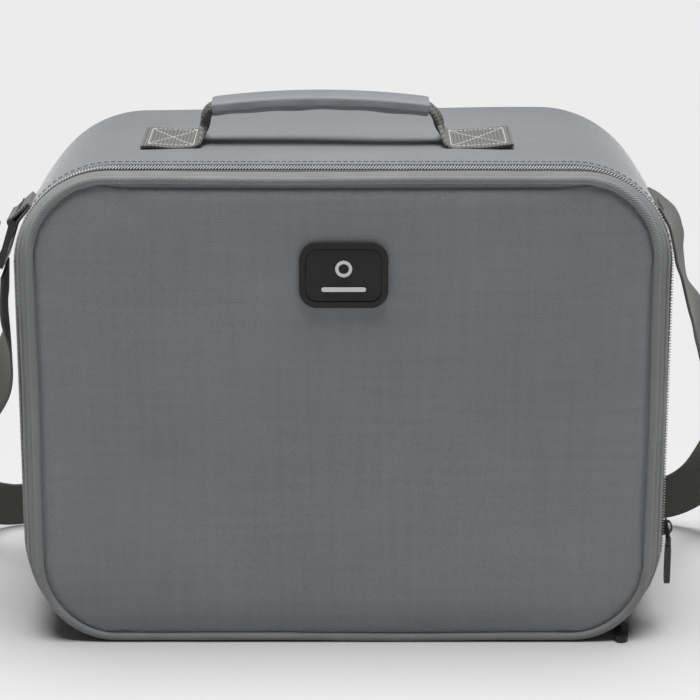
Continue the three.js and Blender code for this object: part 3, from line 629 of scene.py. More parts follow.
# Each material with the slot that it fills
MATERIALS = {
    "panel": ("shell_fabric", woven("grey_weave_panel", GREY, "object")),
    "shell": ("shell_fabric", woven("grey_weave_shell", GREY)),
    "grip": ("trim_fabric", woven("grey_weave_grip", shade(GREY, 1.15), contrast=0.36)),
    "piping": ("trim_fabric", bias_binding("piping_binding", TRIM)),
    "band": ("trim_fabric", bias_binding("band_binding", shade(TRIM, 0.98), 1.0)),
    "tape": ("trim_fabric", zip_tape("zip_tape_weave", shade(TRIM, 0.5))),
    "coil": ("zip_nylon", moulded("zip_coil_nylon", linear(178, 178, 178), 0.38, 0.02, 900, 0.5, 0.15)),
    "webbing": ("webbing", webbing("grey_webbing", linear(88, 88, 84))),
    "patch": ("webbing", webbing("patch_webbing", linear(104, 104, 101), 1.9, 0.7)),
    "dark_webbing": ("dark_webbing", webbing("dark_webbing", linear(46, 47, 48), 1.5)),
    "lining": ("lining", woven("dark_lining", linear(66, 68, 72), "uv", 0.4, 0.2, 0.1, 0.3)),
    "lining_panel": ("lining",
             woven("dark_lining_panel", linear(66, 68, 72), "object", 0.4, 0.2, 0.1, 0.3)),
    "lining_side": ("lining", woven("dark_lining_side", linear(72, 74, 78), "side", 0.45, 0.2, 0.12, 0.3)),
    "loop": ("lining", woven("loop_pile", linear(40, 41, 43), "object", 0.9, 0.4, 0.5, 0.6, 0.12)),
    "metal": ("dark_metal",
             moulded("black_lacquered_metal", linear(34, 35, 35), 0.26, 0.015, 500, 0.5, 0.12)),
    "plastic": ("dark_plastic", moulded("black_plastic", linear(30, 31, 31), 0.3, 0.02, 600, 0.5, 0.1)),
    "rubber": ("badge_rubber", moulded("badge_rubber", linear(33, 34, 33), 0.5, 0.03, 1200, 0.35, 0.1)),
    "mark": ("badge_mark", moulded("badge_mark", linear(226, 227, 224), 0.55, 0.02, 900, 0.4, 0.05)),
    "net": ("lining", moulded("pocket_net", linear(48, 49, 51), 0.75, 0.02, 900, 0.3, 0.1)),
    "light_thread": ("webbing", thread("light_thread", linear(205, 205, 202))),
    "grey_thread": ("trim_fabric", thread("grey_thread", linear(104, 105, 108))),
    "dark_thread": ("dark_webbing", thread("dark_thread", linear(44, 45, 46))),
}


def dress(obj, material, body=None, stands_for=()):
    """Gives a piece its material and the body it rides on; a blended piece gets none here."""
    slot, look = MATERIALS[material]
    obj.data.materials.clear()
    obj.data.materials.append(look)
    if body:
        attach(obj, body)
    if stands_for:
        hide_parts(*stands_for)
    return obj


def keep(node, material, bevel=0.25, segments=3):
    """A CAD node that stays: its edges are broken and it gets a real material."""
    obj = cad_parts[node]
    obj.data.materials.clear()
    obj.data.materials.append(MATERIALS[material][1])
    soft = obj.modifiers.new("bevel", "BEVEL")
    soft.width, soft.segments, soft.limit_method = bevel * MM, segments, "ANGLE"
    soft.angle_limit = math.radians(40)
    obj.data.shade_smooth()
    corner = obj.modifiers.new("normals", "WEIGHTED_NORMAL")
    corner.keep_sharp = False
    return obj


# ---------- box of the case ----------


def build_box():
    edge = BACK - ROLLED_EDGE
    y = np.concatenate([[BOX_FRONT + 0.6, BOX_FRONT + 1.6], np.arange(BOX_FRONT + 4, edge, 4.0)])
    turn = np.linspace(0, math.pi / 2, 7)
    roll = [(-ROLLED_EDGE + ROLLED_EDGE * math.cos(t), edge + ROLLED_EDGE * math.sin(t)) for t in turn]
    inner_roll = [(-ROLLED_EDGE + 4.8 * math.cos(t), edge + 4.8 * math.sin(t)) for t in turn[::-1]]
    profile = [(-0.55, BOX_FRONT)] + [(0.0, v) for v in y] + roll
    profile += inner_roll + [(-1.2, v) for v in y[::-2]] + [(-1.2, BOX_FRONT)]

    def soften(s, out, depth):
        seam = 0.35 * bell(depth, BOX_FRONT + 3.2, 0.9)
        return out + give(s, depth) * np.where(out > -1.3, 1, 0.4) - seam, depth

    shell = ring("gusset", profile, 3.0, None, soften)
    dress(shell, "shell", "case", ("gusset_shell", "gusset_foam"))
    dress(ring_stitches("gusset_topstitch", 0.0, BOX_FRONT + 3.2), "grey_thread", "case")

    inset = node_box("back_panel")[0][0] - SHELL_LOW[0]
    rim, y0, y1 = inset - 0.9, BACK - 6.6, BACK - 1.0
    rings = [(rim, y0), (rim - 0.4, y1 - 1.8), (rim + 0.8, y1), (rim + 8, y1 + 0.8), (rim + 25, y1 + 1.2),
             (60, y1 + 1.4), (95, y1 + 1.4), (HEIGHT / 2, y1 + 1.4), (HEIGHT / 2, y0), (80, y0)]
    back = lens("back_pad", rings)
    inflate(back, lambda p: plateau(p[:, 1], 0, y0 + 0.5, 0.5) + (rim_distance(p) < rim + 3.0), 2.4)
    squared(back)
    dress(back, "panel", "case", ("back_panel", "back_foam"))
    seam = ring("back_seam", circle(0.9, (-inset + 0.1, BACK - 0.55), 10), 3.0)
    dress(seam, "piping", "case")

    wall = node_box("gusset_lining")
    out, back_y = wall[1][0] - WIDTH / 2, wall[1][1]
    lining_y = np.linspace(BOX_FRONT + 4, back_y, 24)
    profile = [(out, v) for v in lining_y] + [(out - 1, v) for v in lining_y[::-1]]

    def pucker(s, o, depth):
        middle = np.sin(np.clip((depth - BOX_FRONT - 4) / (back_y - BOX_FRONT - 4), 0, 1) * math.pi)
        upper = plateau(s, CENTRE_X + 20, PERIMETER - CENTRE_X - 20, 30)
        wave = 0.5 + 0.5 * np.sin(s / 19.0) * np.sin(depth / 23.0 + s / 60.0)
        return o - upper * middle * (0.4 + 0.9 * wave) * (o < out - 0.5), depth

    lining = ring("wall_lining", profile, 3.5, None, pucker)
    dress(lining, "lining", "case", ("gusset_lining",))
    y0, y1 = span("back_lining", 1)
    rings = [(6.9, y1), (6.9, y0), (12, y0 - 0.2), (30, y0 - 0.5), (60, y0 - 0.6), (100, y0 - 0.6),
             (HEIGHT / 2, y0 - 0.6), (HEIGHT / 2, y1), (60, y1)]
    dress(squared(lens("rear_lining", rings)), "lining_panel", "case", ("back_lining",))

    y0, y1 = span("front_edge_binding", 1)
    profile = rounded([(-7.8, y0), (-1.5, y0), (-1.5, y1), (-7.8, y1)], 1.3)
    mouth = ring("mouth_binding", profile, 3.0, None, puckered(0.18))
    dress(mouth, "band", "case", ("front_edge_binding",))
    y0, y1 = span("back_seam_binding", 1)
    offset = span("back_seam_binding", 0)[1] - WIDTH / 2
    profile = rounded([(offset - 2.9, y0), (offset, y0), (offset, y1), (offset - 2.9, y1)], 1.0)
    rear = ring("rear_seam_tape", profile, 3.0, None, puckered(0.12))
    dress(rear, "band", "case", ("back_seam_binding",))


def rim_distance(points):
    """How far inside the outline each point lies, seen along Y."""
    x = np.abs(points[:, 0]) - CENTRE_X
    z = np.abs(points[:, 2] - HEIGHT / 2) - (HEIGHT / 2 - CORNER)
    outside = np.sqrt(np.clip(x, 0, None) ** 2 + np.clip(z, 0, None) ** 2)
    return CORNER - np.where((x > 0) & (z > 0), outside, np.maximum(x, z))


def rounded(corners, radius, steps=4):
    """A polygon's corners, each turned into an arc."""
    made = []
    n = len(corners)
    for i in range(n):
        here = np.array(corners[i], float)
        before, after = (np.array(corners[(i + d) % n], float) - here for d in (-1, 1))
        a = here + radius * before / np.linalg.norm(before)
        b = here + radius * after / np.linalg.norm(after)
        for t in np.linspace(0, 1, steps):
            made.append((1 - t) ** 2 * a + 2 * t * (1 - t) * here + t * t * b)
    return np.array(made)


def puckered(depth):
    """Binding that is drawn in a little at each stitch."""
    def shape(s, out, y):
        return out + depth * np.sin(s / STITCH_PITCH * math.pi) * np.sin(s / 17.0), y
    return shape


# ---------- lid ----------

BADGE_Z = sum(span("badge_border", 2)) / 2
LID_ZIP_START, CASE_COIL_START, HINGE_END = (CENTRE_X + CORNER * math.radians(a) for a in (38.6, 10, 38))


def build_lid():
    start = LID_ZIP_START
    inset = -PIPING_OFFSET + PIPING_RADIUS - 1.2
    y_back = node_box("lid_foam")[1][1]
    edge = [(1, y_back - FRONT), (0.6, 5.0), (0.3, 3.2), (0.9, 1.5), (2.4, 0.75), (6, 0.45), (14, 0.35),
            (30, 0.3)]
    rings = [(inset + within, FRONT + depth) for within, depth in edge]
    rings += [(v, FRONT + 0.3) for v in (65, 95, HEIGHT / 2)] + [(HEIGHT / 2, y_back), (80, y_back)]
    pad = lens("lid_pad", rings)

    def hold(p):
        return np.clip(plateau(p[:, 1], y_back - 2.4, 0, 0.5) + (rim_distance(p) < inset + 2.4), 0, 1)

    inflate(pad, hold, 0.7, 4.5)
    move_points(pad, drape_lid)
    move_points(squared(pad), taper)
    dress(pad, "panel", "lid", ("lid_panel", "lid_foam"))

    def cord(s, out, y):
        swell = 1 + 0.03 * np.sin(s / 9.3) * np.sin(s / 23.0)
        out = PIPING_OFFSET + (out - PIPING_OFFSET) * swell + lid_sway(s)
        return out, PIPING_Y + (y - PIPING_Y) * swell

    piping = ring("piping", circle(PIPING_RADIUS, (PIPING_OFFSET, PIPING_Y), 18), 2.4, None, cord)
    dress(move_points(piping, taper), "piping", "lid", ("lid_piping",))

    flange = rounded([(PIPING_OFFSET, PIPING_Y + 0.5), (-9.5, PIPING_Y + 0.9), (-9.5, PIPING_Y + 1.9),
                      (PIPING_OFFSET, PIPING_Y + 1.3)], 0.2, 3)
    dress(move_points(ring("piping_flange", flange), taper), "shell", "lid")

    mid, half = (BAND_FRONT + BAND_BACK) / 2, (BAND_BACK - BAND_FRONT) / 2
    angle = np.linspace(math.pi, 0, 17)
    crown = [(-3.6 + 3.2 * math.sin(t) ** 0.42, mid + (half - 0.35) * math.cos(t)) for t in angle]
    profile = crown + [(-4.2, BAND_BACK), (-4.2, BAND_FRONT)]

    def band_shape(s, out, y):
        wrinkle = 0.1 * np.sin(s / 5.1) * np.sin(s / 31.0) + 0.08 * np.sin(s / 14.0)
        return out + lid_sway(s) + wrinkle * (out > -2.2), y

    band = ring("lid_band_puff", profile, 2.4, start, band_shape)
    dress(move_points(band, taper), "band", "lid", ("lid_band",))
    tape = rounded([(-2.3, BAND_BACK + 0.2), (-1.5, BAND_BACK + 0.2),
                    (-1.5, ZIP_Y - COIL_SLOT - 0.2), (-2.3, ZIP_Y - COIL_SLOT - 0.2)], 0.3, 3)
    dress(ring("lid_tape", tape, 3.0, start), "tape", "lid", ("lid_zip_tape",))
    dress(ring_stitches("lid_tape_stitch", -1.5, BAND_BACK + 1.1, start, 3.0, False), "grey_thread", "lid")
    coil("lid_coil", ZIP_Y - COIL_SLOT - COIL_WIDTH / 2, start, 0.0, "lid", "lid_zip_coil")

    y0, y1 = span("lid_lining", 1)
    rings = [(6.6, y0), (6.4, y1 - 0.3), (12, y1), (40, y1), (80, y1), (HEIGHT / 2, y1), (HEIGHT / 2, y0),
             (60, y0)]
    lining = move_points(squared(lens("lid_inner_lining", rings)), taper)
    dress(lining, "lining_panel", "lid", ("lid_lining",))
    edge = ring("lid_inner_binding", rounded([(-10.0, y1 - 0.6), (-3.6, y1 - 0.6), (-3.6, y1 + 0.9),
                                              (-10.0, y1 + 0.9)], 0.7), 3.0, None, puckered(0.15))
    dress(edge, "band", "lid")

    for node, bevel in (("badge_border", 0.9), ("badge_plate", 0.4)):
        keep(node, "rubber", bevel, 4)
    for node in ("badge_ring_mark", "badge_bar_mark"):
        keep(node, "mark", 0.15)
    build_pocket()


def lid_sway(s):
    """The lid's edge isn't quite straight: it wanders in and out a little round the outline."""
    turn = s / PERIMETER * 2 * math.pi
    return 0.22 * np.sin(turn * 5 + 0.8) + 0.13 * np.sin(turn * 9)


def drape_lid(points):
    """The finished panel's shallow unevenness: it is pulled flat at the badge and full near the base."""
    front = points[:, 1] < FRONT + 3
    x, z = points[:, 0], points[:, 2]
    swell = 0.35 * np.sin(x / 47.0 + 1) * np.sin(z / 39.0) + 0.3 * bell(z, 60, 50)
    y = np.where(front, swell * -0.6 * plateau(rim_distance(points), 14, 200, 10), 0)
    y = np.where(front, y * (1 - bell(x, 0, 32) * bell(z, BADGE_Z, 26)), 0)
    return xyz(0, y, 0)


def coil(name, y, start, phase, body, node, outward=-0.75, pitch=1.5):
    """A zip's nylon coil: one monofilament wound round and round along the tape's edge."""
    length = PERIMETER - 2 * start
    turns = round(length / pitch)
    per_turn = 8
    t = np.arange(turns * per_turn + 1) / per_turn
    s = start + t * length / turns
    angle = 2 * math.pi * t + phase
    at, outer = frames_at(s)
    boxy = np.sign(np.sin(angle)) * np.abs(np.sin(angle)) ** 0.7
    out = outward + 0.62 * boxy
    at += outer * out[:, None]
    at[:, 1] = y + (COIL_WIDTH / 2 - 0.05) * np.cos(angle)
    tangent = unit(np.gradient(at, axis=0))
    a = unit(outer - tangent * np.sum(outer * tangent, 1, keepdims=True))
    obj = squared(sweep(name, at, a, np.cross(tangent, a), s, circle(0.33, (0, 0), 6), sharp=0))
    return dress(obj, "coil", body, (node,))


def build_pocket():
    """A net pocket on the lid's inner face, bound on three sides, with a gathered elastic along its top."""
    low, high = node_box("lid_pocket_mesh")
    y = (low[1] + high[1]) / 2
    pitch = 4.2
    across, up = int((high[0] - low[0]) / pitch), int((high[2] - low[2]) / pitch)
    xs = np.linspace(low[0], high[0], 2 * across + 1)
    zs = np.linspace(low[2], high[2], 2 * up + 1)
    index, points, faces = {}, [], []

    def vertex(i, k):
        if (i, k) not in index:
            sag = 0.25 * math.sin(i / 9.0) * math.sin(k / 5.0)
            index[i, k] = len(points)
            points.append((xs[i], y + sag, zs[k]))
        return index[i, k]

    for i in range(1, 2 * across):
        for k in range(1, 2 * up):
            if (i + k) % 2 == 1:
                corners = [(i - 1, k), (i, k - 1), (i + 1, k), (i, k + 1)]
                faces.append([vertex(*c) for c in corners])
    net = make_object("pocket_net", points, faces, None, 0)
    wire = net.modifiers.new("wire", "WIREFRAME")
    wire.thickness, wire.use_even_offset, wire.use_boundary = 0.55 * MM, False, True
    apply_modifiers(net)
    dress(net, "net", "lid", ("lid_pocket_mesh",))

    low, high = node_box("lid_pocket_binding")
    edge = 9.0
    r = 10.0
    x1, z0, z1 = high[0] - edge / 2, low[2] + edge / 2, high[2]
    path = [(-x1, z1), (-x1, z1 - 20)]
    path += [(-x1, z) for z in np.linspace(z1 - 30, z0 + r, 12)]
    turn = np.linspace(0.2, math.pi / 2, 6)
    path += [(-x1 + r - r * math.cos(t), z0 + r - r * math.sin(t)) for t in turn]
    path += [(x, z0) for x in np.linspace(-x1 + r + 5, x1 - r - 5, 40)]
    turn = np.linspace(0, math.pi / 2 - 0.2, 6)
    path += [(x1 - r + r * math.sin(t), z0 + r - r * math.cos(t)) for t in turn]
    path += [(x1, z) for z in np.linspace(z0 + r, z1 - 30, 12)] + [(x1, z1 - 20), (x1, z1)]
    at = np.array([(x, (low[1] + high[1]) / 2, z) for x, z in path])
    obj = ribbon("pocket_binding", at, each(BACKWARD, at), edge, 1.0, False)
    dress(obj, "band", "lid", ("lid_pocket_binding",))
    low, high = node_box("lid_pocket_elastic")
    xs = np.linspace(low[0], high[0], 300)
    wave = 0.22 * np.sin(xs * 1.9) + 0.12 * np.sin(xs * 0.7)
    at = xyz(xs, (low[1] + high[1]) / 2 + wave, (low[2] + high[2]) / 2)
    obj = ribbon("pocket_elastic", at, each(BACKWARD, at), high[2] - low[2], 1.0, False)
    dress(obj, "dark_webbing", "lid", ("lid_pocket_elastic",))


# ---------- zip ----------


ZIP_END_X = 98.0


def build_zip():
    tape = rounded([(-2.3, ZIP_Y + COIL_SLOT + 0.2), (-1.5, ZIP_Y + COIL_SLOT + 0.2),
                    (-1.3, BOX_FRONT - 0.1), (-2.1, BOX_FRONT - 0.1)], 0.3, 3)
    dress(ring("case_tape", tape, 3.0, ZIP_END_X), "tape", "case", ("zip_tape",))
    coil("case_coil", ZIP_Y + COIL_SLOT + COIL_WIDTH / 2, CASE_COIL_START, math.pi, "case", "zip_coil")
    for node in ("zip_slider", "lower_slider"):
        keep(node, "metal", 0.28)
    keep("pull_ring", "metal", 0.05, 2)
    for node in ("pull_tab", "lower_pull_tab"):
        keep(node, "metal", 0.55, 4)

    s = np.linspace(-HINGE_END, HINGE_END, 150)
    at, out = frames_at(s)
    front, wing = span("hinge_strip", 1)[0], ZIP_Y - COIL_SLOT
    depth = np.linspace(0, 1, 14)
    profile = [(0.0, t) for t in depth] + [(-1.2, t) for t in depth[::-1]]

    def fold(dist, o, t):
        back = np.where(np.abs(dist) < ZIP_END_X - 1, BOX_FRONT - 0.3, wing)
        y = front + t * (back - front)
        crease = -0.45 * bell(y, -66, 2.0) - 0.3 * bell(y, -72.5, 1.2)
        return o + crease * plateau(np.abs(dist), -1, 110, 20) * (o > -0.6) - 0.1, y

    obj = squared(sweep("hinge_fold", at, out, each(BACKWARD, at), s, profile, False, fold))
    move_points(obj, lambda p: taper(p) + xyz(0, 0, np.clip(0.05 - p[:, 2], 0, None)))
    dress(obj, "shell", None, ("hinge_strip",))
    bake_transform(obj)


# ---------- webbing ----------


def ribbon(name, at, face, width, thick, rounded_edges=True, cup=0.0):
    """Webbing along a path; face is the way one of its flat sides looks at each point."""
    at, face = np.asarray(at, float), np.asarray(face, float)
    tangent = unit(np.gradient(at, axis=0))
    across = unit(np.cross(tangent, face))
    up = np.cross(across, tangent)
    s = distances(at)
    profile = band_profile(-width / 2, width / 2, thick, thick * (1.12 if rounded_edges else 1.0), 11)

    def bend(dist, a, b):
        return a, b + cup * (1 - (2 * a / width) ** 2)

    return sweep(name, at, across, up, s, profile, False, bend)


def catmull(points, t, centripetal):
    """The curve through points that three.js draws, at shares t of its spans."""
    p = np.asarray(points, float)
    p = np.concatenate([[2 * p[0] - p[1]], p, [2 * p[-1] - p[-2]]])
    spans = len(p) - 3
    place = np.asarray(t) * spans
    i = np.minimum(place.astype(int), spans - 1)
    w = (place - i)[:, None]
    p0, p1, p2, p3 = p[i], p[i + 1], p[i + 2], p[i + 3]
    if centripetal:
        d0, d1, d2 = (np.maximum(np.linalg.norm(b - a, axis=1, keepdims=True), 1e-4) ** 0.5
                      for a, b in ((p0, p1), (p1, p2), (p2, p3)))
        m1 = ((p1 - p0) / d0 - (p2 - p0) / (d0 + d1) + (p2 - p1) / d1) * d1
        m2 = ((p2 - p1) / d1 - (p3 - p1) / (d1 + d2) + (p3 - p2) / d2) * d1
    else:
        m1, m2 = (p2 - p0) / 2, (p3 - p1) / 2
    return (p1 + m1 * w + (3 * (p2 - p1) - 2 * m1 - m2) * w**2 + (2 * (p1 - p2) + m1 + m2) * w**3)


STRAP_ROUTE = [
    ((156.4, -41.5, 224.9), (-0.17, 0.96, 0.23)), ((161, -40, 220.3), (0.02, 0.97, 0.23)),
    ((166.6, -38, 212.8), (0.27, 0.96, 0.07)), ((170.6, -34, 201.5), (0.32, 0.93, -0.2)),
    ((173.6, -28, 188.2), (0.22, 0.93, -0.29)), ((178.4, -20, 168.9), (0.15, 0.98, -0.05)),
    ((190, 10, 143), (0.3, 0.85, 0.1)), ((203, 36, 104), (0.3, 0.6, 0.6)),
    ((210, 58, 66), (-0.1, 0.4, 0.9)), ((204, 74, 34), (-0.5, 0.1, 0.86)),
    ((187, 84, 17.8), (-0.3, 0, 0.95)), ((165, 91, 13.4), (0, 0, 1)), ((110, 93, 12.9), (0, 0, 1)),
    ((0, 94, 12.9), (0, 0, 1)), ((-110, 93, 12.9), (0, 0, 1)), ((-170, 88, 13.4), (0, 0, 1)),
    ((-194, 80, 14.4), (0.1, 0, 1)), ((-210, 62, 27), (0.3, 0.3, 0.9)), ((-211, 42, 56), (0.1, 0.5, 0.85)),
    ((-199, 24, 88), (-0.4, 0.5, 0.75)), ((-184, 2, 116), (-0.5, 0.65, 0.55)),
    ((-175, -21, 144), (-0.2, 0.95, 0.2)), ((-174.2, -37, 166.7), (0, 1, 0.05)),
    ((-172.6, -41.5, 188.2), (0, 1, 0)),
]
TAIL_ROUTE = [
    ((-175.6, -41.5, 207.7), (0, 1, 0.1)), ((-181.8, -41.5, 208.6), (0, 0.95, 0.3)),
    ((-190.2, -39.5, 203.6), (0.1, 0.85, 0.5)), ((-197.2, -36.5, 194.2), (0.2, 0.85, 0.4)),
    ((-201.4, -34.5, 181.7), (0.1, 0.95, 0.2)),
]
TAB_ROOT, TAB_TIP = np.array([-159.6, -41.5, 223.0]), np.array([-167.6, -41.5, 213.2])
STRAP_WIDTH, STRAP_THICK = 25.0, 1.6


def routed(name, route, steps, cup):
    """The strap along a route of (point, width direction) stations."""
    t = np.linspace(0, 1, steps)
    at = catmull([r[0] for r in route], t, True)
    width = catmull([r[1] for r in route], t, False)
    face = np.cross(width, np.gradient(at, axis=0))
    return ribbon(name, at, face, STRAP_WIDTH, STRAP_THICK - 0.1, True, cup)


def build_strap():
    strap = routed("carry_strap", STRAP_ROUTE, 330, 0.35)
    dress(strap, "webbing", "case", ("shoulder_strap",))
    tail = routed("carry_strap_tail", TAIL_ROUTE, 40, 0.2)
    dress(tail, "webbing", "case", ("strap_tail",))
    for side, root in ((1, STRAP_ROUTE[0][0]), (-1, TAB_ROOT)):
        bar_tack(side, root[0], root[2])

    along = unit(TAB_TIP - TAB_ROOT)
    up = np.array([along[2], 0, -along[0]])
    up *= np.sign(up[2])
    bar = TAB_TIP - 2.6 * along
    legs = np.linspace(0, 1, 10)
    inside = TAB_ROOT - along * 2.5 - up * 0.9
    upper = [inside + up * 0.8 + (bar + up * 1.6 - inside - up * 0.8) * t for t in legs]
    lower = [inside - up * 0.8 + (bar - up * 1.6 - inside + up * 0.8) * t for t in legs[::-1]]
    angles = np.linspace(0.3, math.pi - 0.3, 9)
    turn = [bar + 2.5 * (math.cos(a) * up + math.sin(a) * along) for a in angles]
    at = np.array(upper[:-1] + turn + lower[1:])
    face = np.cross(each(BACKWARD, at), np.gradient(at, axis=0))
    loop = ribbon("strap_tab_loop", at, face, STRAP_WIDTH, STRAP_THICK - 0.1)
    dress(loop, "patch", "case", ("strap_tab",))
    keep("strap_adjuster", "plastic", 0.5, 3)


def bar_tack(side, x, z):
    """The close stitching that holds a strap's end into the seam on the upper corner."""
    out = unit(np.array([x - side * CENTRE_X, 0, z - CENTRE_HIGH]))
    along = np.array([out[2] * side, 0, -out[0] * side])
    for row in (2.5, 5.0):
        y = np.linspace(-52.5, -30.5, 23)
        place = np.array([x, 0, z]) + along * row + out * (1.0 if side > 0 else 2.2)
        at = xyz(place[0], y, place[2])
        name = f"strap_root_stitch_{'right' if side > 0 else 'left'}_{int(row)}"
        dress(stitches(name, at, each(out, at), 1.7, 0.28), "dark_thread", "case")


def box_stitch(name, at, out, y0, y1):
    """A sewn box with a cross in it, on webbing whose path at and face out are given."""
    lengths = distances(at)

    def on(u, y):
        centre = np.stack([np.interp(u, lengths, at[:, k]) for k in range(3)], -1)
        normal = np.stack([np.interp(u, lengths, out[:, k]) for k in range(3)], -1)
        centre[:, 1] = y
        return centre + normal * STRAP_THICK / 2, normal

    u0, u1 = 2.5, lengths[-1] - 2.5
    sides = [((u0, y0), (u1, y0)), ((u1, y0), (u1, y1)), ((u1, y1), (u0, y1)), ((u0, y1), (u0, y0)),
             ((u0, y0), (u1, y1)), ((u0, y1), (u1, y0))]
    for i, (a, b) in enumerate(sides):
        count = max(3, 2 * round(math.dist(a, b) / 2.6) + 1)
        u, y = np.linspace(a[0], b[0], count), np.linspace(a[1], b[1], count)
        place, normal = on(u, y)
        dress(stitches(f"{name}_{i}", place, normal, 1.9, 0.28), "light_thread", "case")


# ---------- handle ----------

SLEEVE_LOW, SLEEVE_HIGH = node_box("grip_sleeve")
HANDLE_Y = (SLEEVE_LOW[1] + SLEEVE_HIGH[1]) / 2
GRIP_LEFT, GRIP_RIGHT = span("grip_foam", 0)[0] + 0.5, span("grip_foam", 0)[1] - 0.5
GRIP_RISE = 21.8
GRIP_SAG = 14
GRIP_THICK = 7.4
PATCH_TOP = 249.5
HANDLE_WEBBING = 44.0


def arch_height(x):
    reach = (x - (GRIP_LEFT + GRIP_RIGHT) / 2) / (GRIP_RIGHT - GRIP_LEFT)
    return HEIGHT + GRIP_RISE - GRIP_SAG * reach * reach


def build_grip():
    x = np.linspace(GRIP_LEFT, GRIP_RIGHT, 90)
    along = unit(xyz(1, 0, arch_height(x + 0.5) - arch_height(x - 0.5)))
    at = xyz(x, HANDLE_Y, arch_height(x))
    a, b = each(BACKWARD, at), xyz(-along[:, 2], 0, along[:, 0])
    half, thick = (SLEEVE_HIGH[1] - SLEEVE_LOW[1]) / 2, GRIP_THICK / 2
    corners = [(-half + 0.9, thick - 0.2), (half - 0.9, thick), (half, -thick + 1.6), (half - 3, -thick),
               (-half + 2.6, -thick), (-half, -thick + 2.0)]
    profile = rounded(corners, 1.5, 6)
    length = GRIP_RIGHT - GRIP_LEFT

    def soft(s, p, q):
        t = s / length
        ends = np.clip(np.minimum(t, 1 - t) / 0.03, 0, 1) ** 0.5
        grow = 0.94 + 0.06 * ends
        low = (q < -thick * 0.4) * (p < 0)
        wavy = 0.4 * np.sin(s / 5.3) * np.sin(s / 13.0 + 1) * low
        crease = -0.22 * bell(q, -thick * 0.1, 1.0) * np.sin(s / 4.1 + np.sin(s / 9.0)) * (p < 0)
        ridge = 0.35 * bell(p, -half * 0.62, 1.1) * (q > 0) - 0.3 * bell(p, -half * 0.3, 1.6) * (q > 0)
        return p * grow + crease, q * grow + wavy + ridge

    sleeve = sweep("grip_cover", at, a, b, x - GRIP_LEFT, profile, False, soft, 50)
    dress(sleeve, "grip", "handle", ("grip_sleeve", "grip_foam"))


def build_handle():
    build_grip()
    legs = {
        "left": [(-103.3, 247.3), (-98, 247.4), (-90, 247.3), (-81, 247.3), (-76, 247.9), (-73, 250.2),
                 (-71.8, 254), (-71.4, 257.5), (-70.6, 260.6), (-68.6, 263.4), (-65, 264.9),
                 (-60.5, 265.4)],
        "right": [(86.3, 248.4), (81, 247.6), (72, 247.3), (61, 247.3), (56, 247.5), (52.6, 249),
                  (50.4, 252.2), (48.8, 256), (47.2, 259.6), (44.8, 262.6), (41, 264.4), (36.5, 265.4)],
    }
    for side, path in legs.items():
        at = catmull([(x, HANDLE_Y, z) for x, z in path], np.linspace(0, 1, 150), True)
        lifted = np.clip((252 - at[:, 2]) / 4, 0, 1)
        at[:, 2] += give(TOP_MIDDLE - at[:, 0], at[:, 1]) * lifted
        s = distances(at)
        rise = smooth(np.clip((at[:, 2] - 248.3) / 9.0, 0, 1))
        across = each(BACKWARD, at)
        up = np.cross(unit(np.gradient(at, axis=0)), across)
        up *= np.where(up[:, 2:3].sum() > 0, 1, -1)
        half = HANDLE_WEBBING / 2
        profile = band_profile(-half, half, 1.6, 1.8, 41)

        def gather(dist, p, q, s=s, rise=rise, side=side):
            r = np.interp(dist, s, rise)
            narrow = 1 - 0.56 * r
            w = p / half
            fold = 1.5 * np.cos(w * 7.2 + (0.6 if side == "left" else -0.5))
            folds = r * (fold + 0.7 * np.sin(w * 3.1 + dist / 6))
            sewn = (1 - r) * 0.25 * np.sin(dist / 3.1) * np.abs(w) ** 6
            return p * narrow, q + folds + sewn

        obj = sweep(f"handle_leg_webbing_{side}", at, across, up, s, profile, False, gather, 50)
        nodes = (f"handle_patch_{side}", f"handle_leg_{side}")
        dress(obj, "patch", None, nodes + (("handle_webbing",) if side == "left" else ()))
        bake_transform(obj)
        flat = at[at[:, 2] < PATCH_TOP][3:-3]
        reach = half - 4
        box_stitch(f"handle_stitch_{side}", flat, each(UPWARD, flat), HANDLE_Y - reach, HANDLE_Y + reach)
        backing = f"handle_backing_{side}"
        flat_band(f"handle_backing_cloth_{side}", backing, 0, 2, "webbing", 0.9, count=20)


# ---------- inside ----------


def slab_pad(name, node, radius, voxel, cap, material):
    """A flat padded piece in a CAD node's box, rounded and filled."""
    low, high = node_box(node)
    room_to_swell = 0.8
    size, middle = high - low - 2 * room_to_swell, (high + low) / 2
    bm = bmesh.new()
    bmesh.ops.create_cube(bm, size=1.0)
    for v in bm.verts:
        v.co = Vector(middle + np.array(v.co) * size) * MM
    bmesh.ops.bevel(bm, geom=list(bm.edges), offset=radius * MM, segments=3, affect="EDGES", profile=0.5)
    mesh = bpy.data.meshes.new(name)
    bm.to_mesh(mesh)
    bm.free()
    obj = bpy.data.objects.new(name, mesh)
    bpy.context.scene.collection.objects.link(obj)
    thin = int(np.argmin(size))

    def hold(p):
        off = np.abs(p - middle) / (size / 2)
        return np.max(np.delete(off, thin, axis=1), axis=1) > 0.97

    inflate(obj, hold, cap, voxel)
    dress(obj, material, "case", (node,))


def flat_band(name, node, axis, face, material, thick=None, rounded_edges=True, count=60):
    """Webbing or tape laid flat in a CAD node's box, along one axis."""
    low, high = node_box(node)
    middle = (low + high) / 2
    other = 3 - axis - face
    at = np.tile(middle, (count, 1))
    at[:, axis] = np.linspace(low[axis], high[axis], count)
    normal = np.zeros((count, 3))
    normal[:, face] = 1 if face == 2 else -1
    thick = thick or (high[face] - low[face]) - 0.1
    obj = ribbon(name, at, normal, high[other] - low[other], thick, rounded_edges)
    dress(obj, material, "case", (node,))


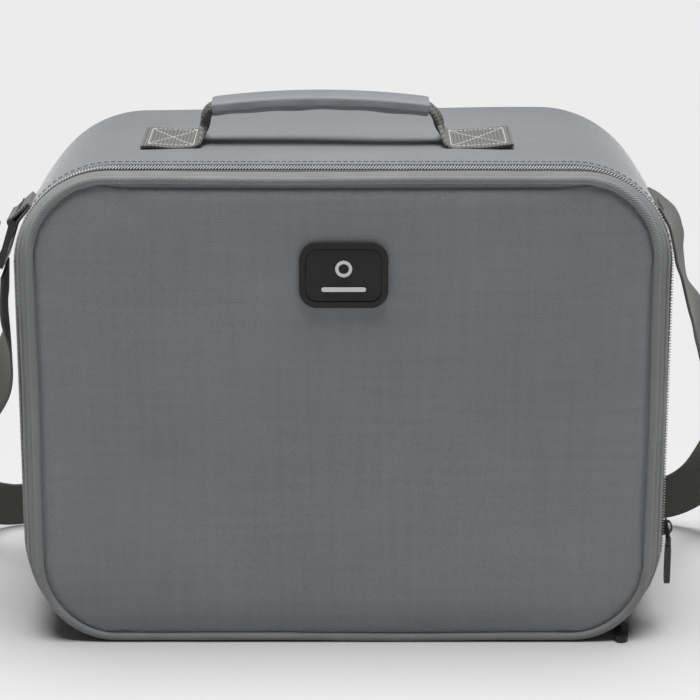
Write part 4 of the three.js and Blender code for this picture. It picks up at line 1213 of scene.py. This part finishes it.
def build_inside():
    slab_pad("divider_pad", "divider", 3.0, 4.0, 1.2, "lining_side")
    flat_band("base_board_cover", "base_board", 0, 2, "lining", 1.8, False)
    flat_band("floor_loop_tape", "floor_loop_strip", 1, 2, "loop")
    flat_band("back_loop_tape", "back_loop_strip", 2, 1, "loop")
    flat_band("retaining_strap_a", "retaining_strap_hook", 0, 1, "dark_webbing")
    flat_band("retaining_strap_b", "retaining_strap_loop", 0, 1, "dark_webbing")


# ---------- stage ----------

SENSOR = 36
CAMERA_LENS = 2560 * SENSOR / 700
CAMERA_PLACE = (0.0031, -1.300, 0.531)
CAMERA_PITCH = 0.298
WORLD_LIGHT = 0.08
SUN_LIGHT, SUN_SOFTNESS, SUN_TILT = 4.9, 42, (0, 1)
FLOOR_REACH = 4000


def build_stage():
    scene = bpy.context.scene
    scene.view_settings.view_transform = "Standard"
    camera = bpy.data.objects.new("camera", bpy.data.cameras.new("camera"))
    camera.data.sensor_width, camera.data.lens = SENSOR, CAMERA_LENS
    camera.location, camera.rotation_euler = CAMERA_PLACE, (math.pi / 2 - CAMERA_PITCH, 0, 0)
    camera.data.clip_end = 50
    scene.collection.objects.link(camera)
    scene.camera = camera

    world = bpy.data.worlds.new("studio")
    scene.world = world
    world.use_nodes = True
    background = world.node_tree.nodes["Background"]
    background.inputs[0].default_value = (0.97, 0.985, 1.0, 1)
    background.inputs[1].default_value = WORLD_LIGHT

    corners = [(x * FLOOR_REACH, y * FLOOR_REACH, 0) for x, y in ((-1, -1), (1, -1), (1, 1), (-1, 1))]
    floor = make_object("pale_floor", corners, [[0, 1, 2, 3]], None, 0)
    floor.data.materials.append(floor_material())
    sun = bpy.data.lights.new("overhead", "SUN")
    sun.energy, sun.angle = SUN_LIGHT, math.radians(SUN_SOFTNESS)
    lamp = bpy.data.objects.new("overhead", sun)
    lamp.rotation_euler = [math.radians(v) for v in (*SUN_TILT, 0)]
    scene.collection.objects.link(lamp)


build_stage()
build_box()
build_lid()
build_zip()
build_strap()
build_handle()
build_inside()
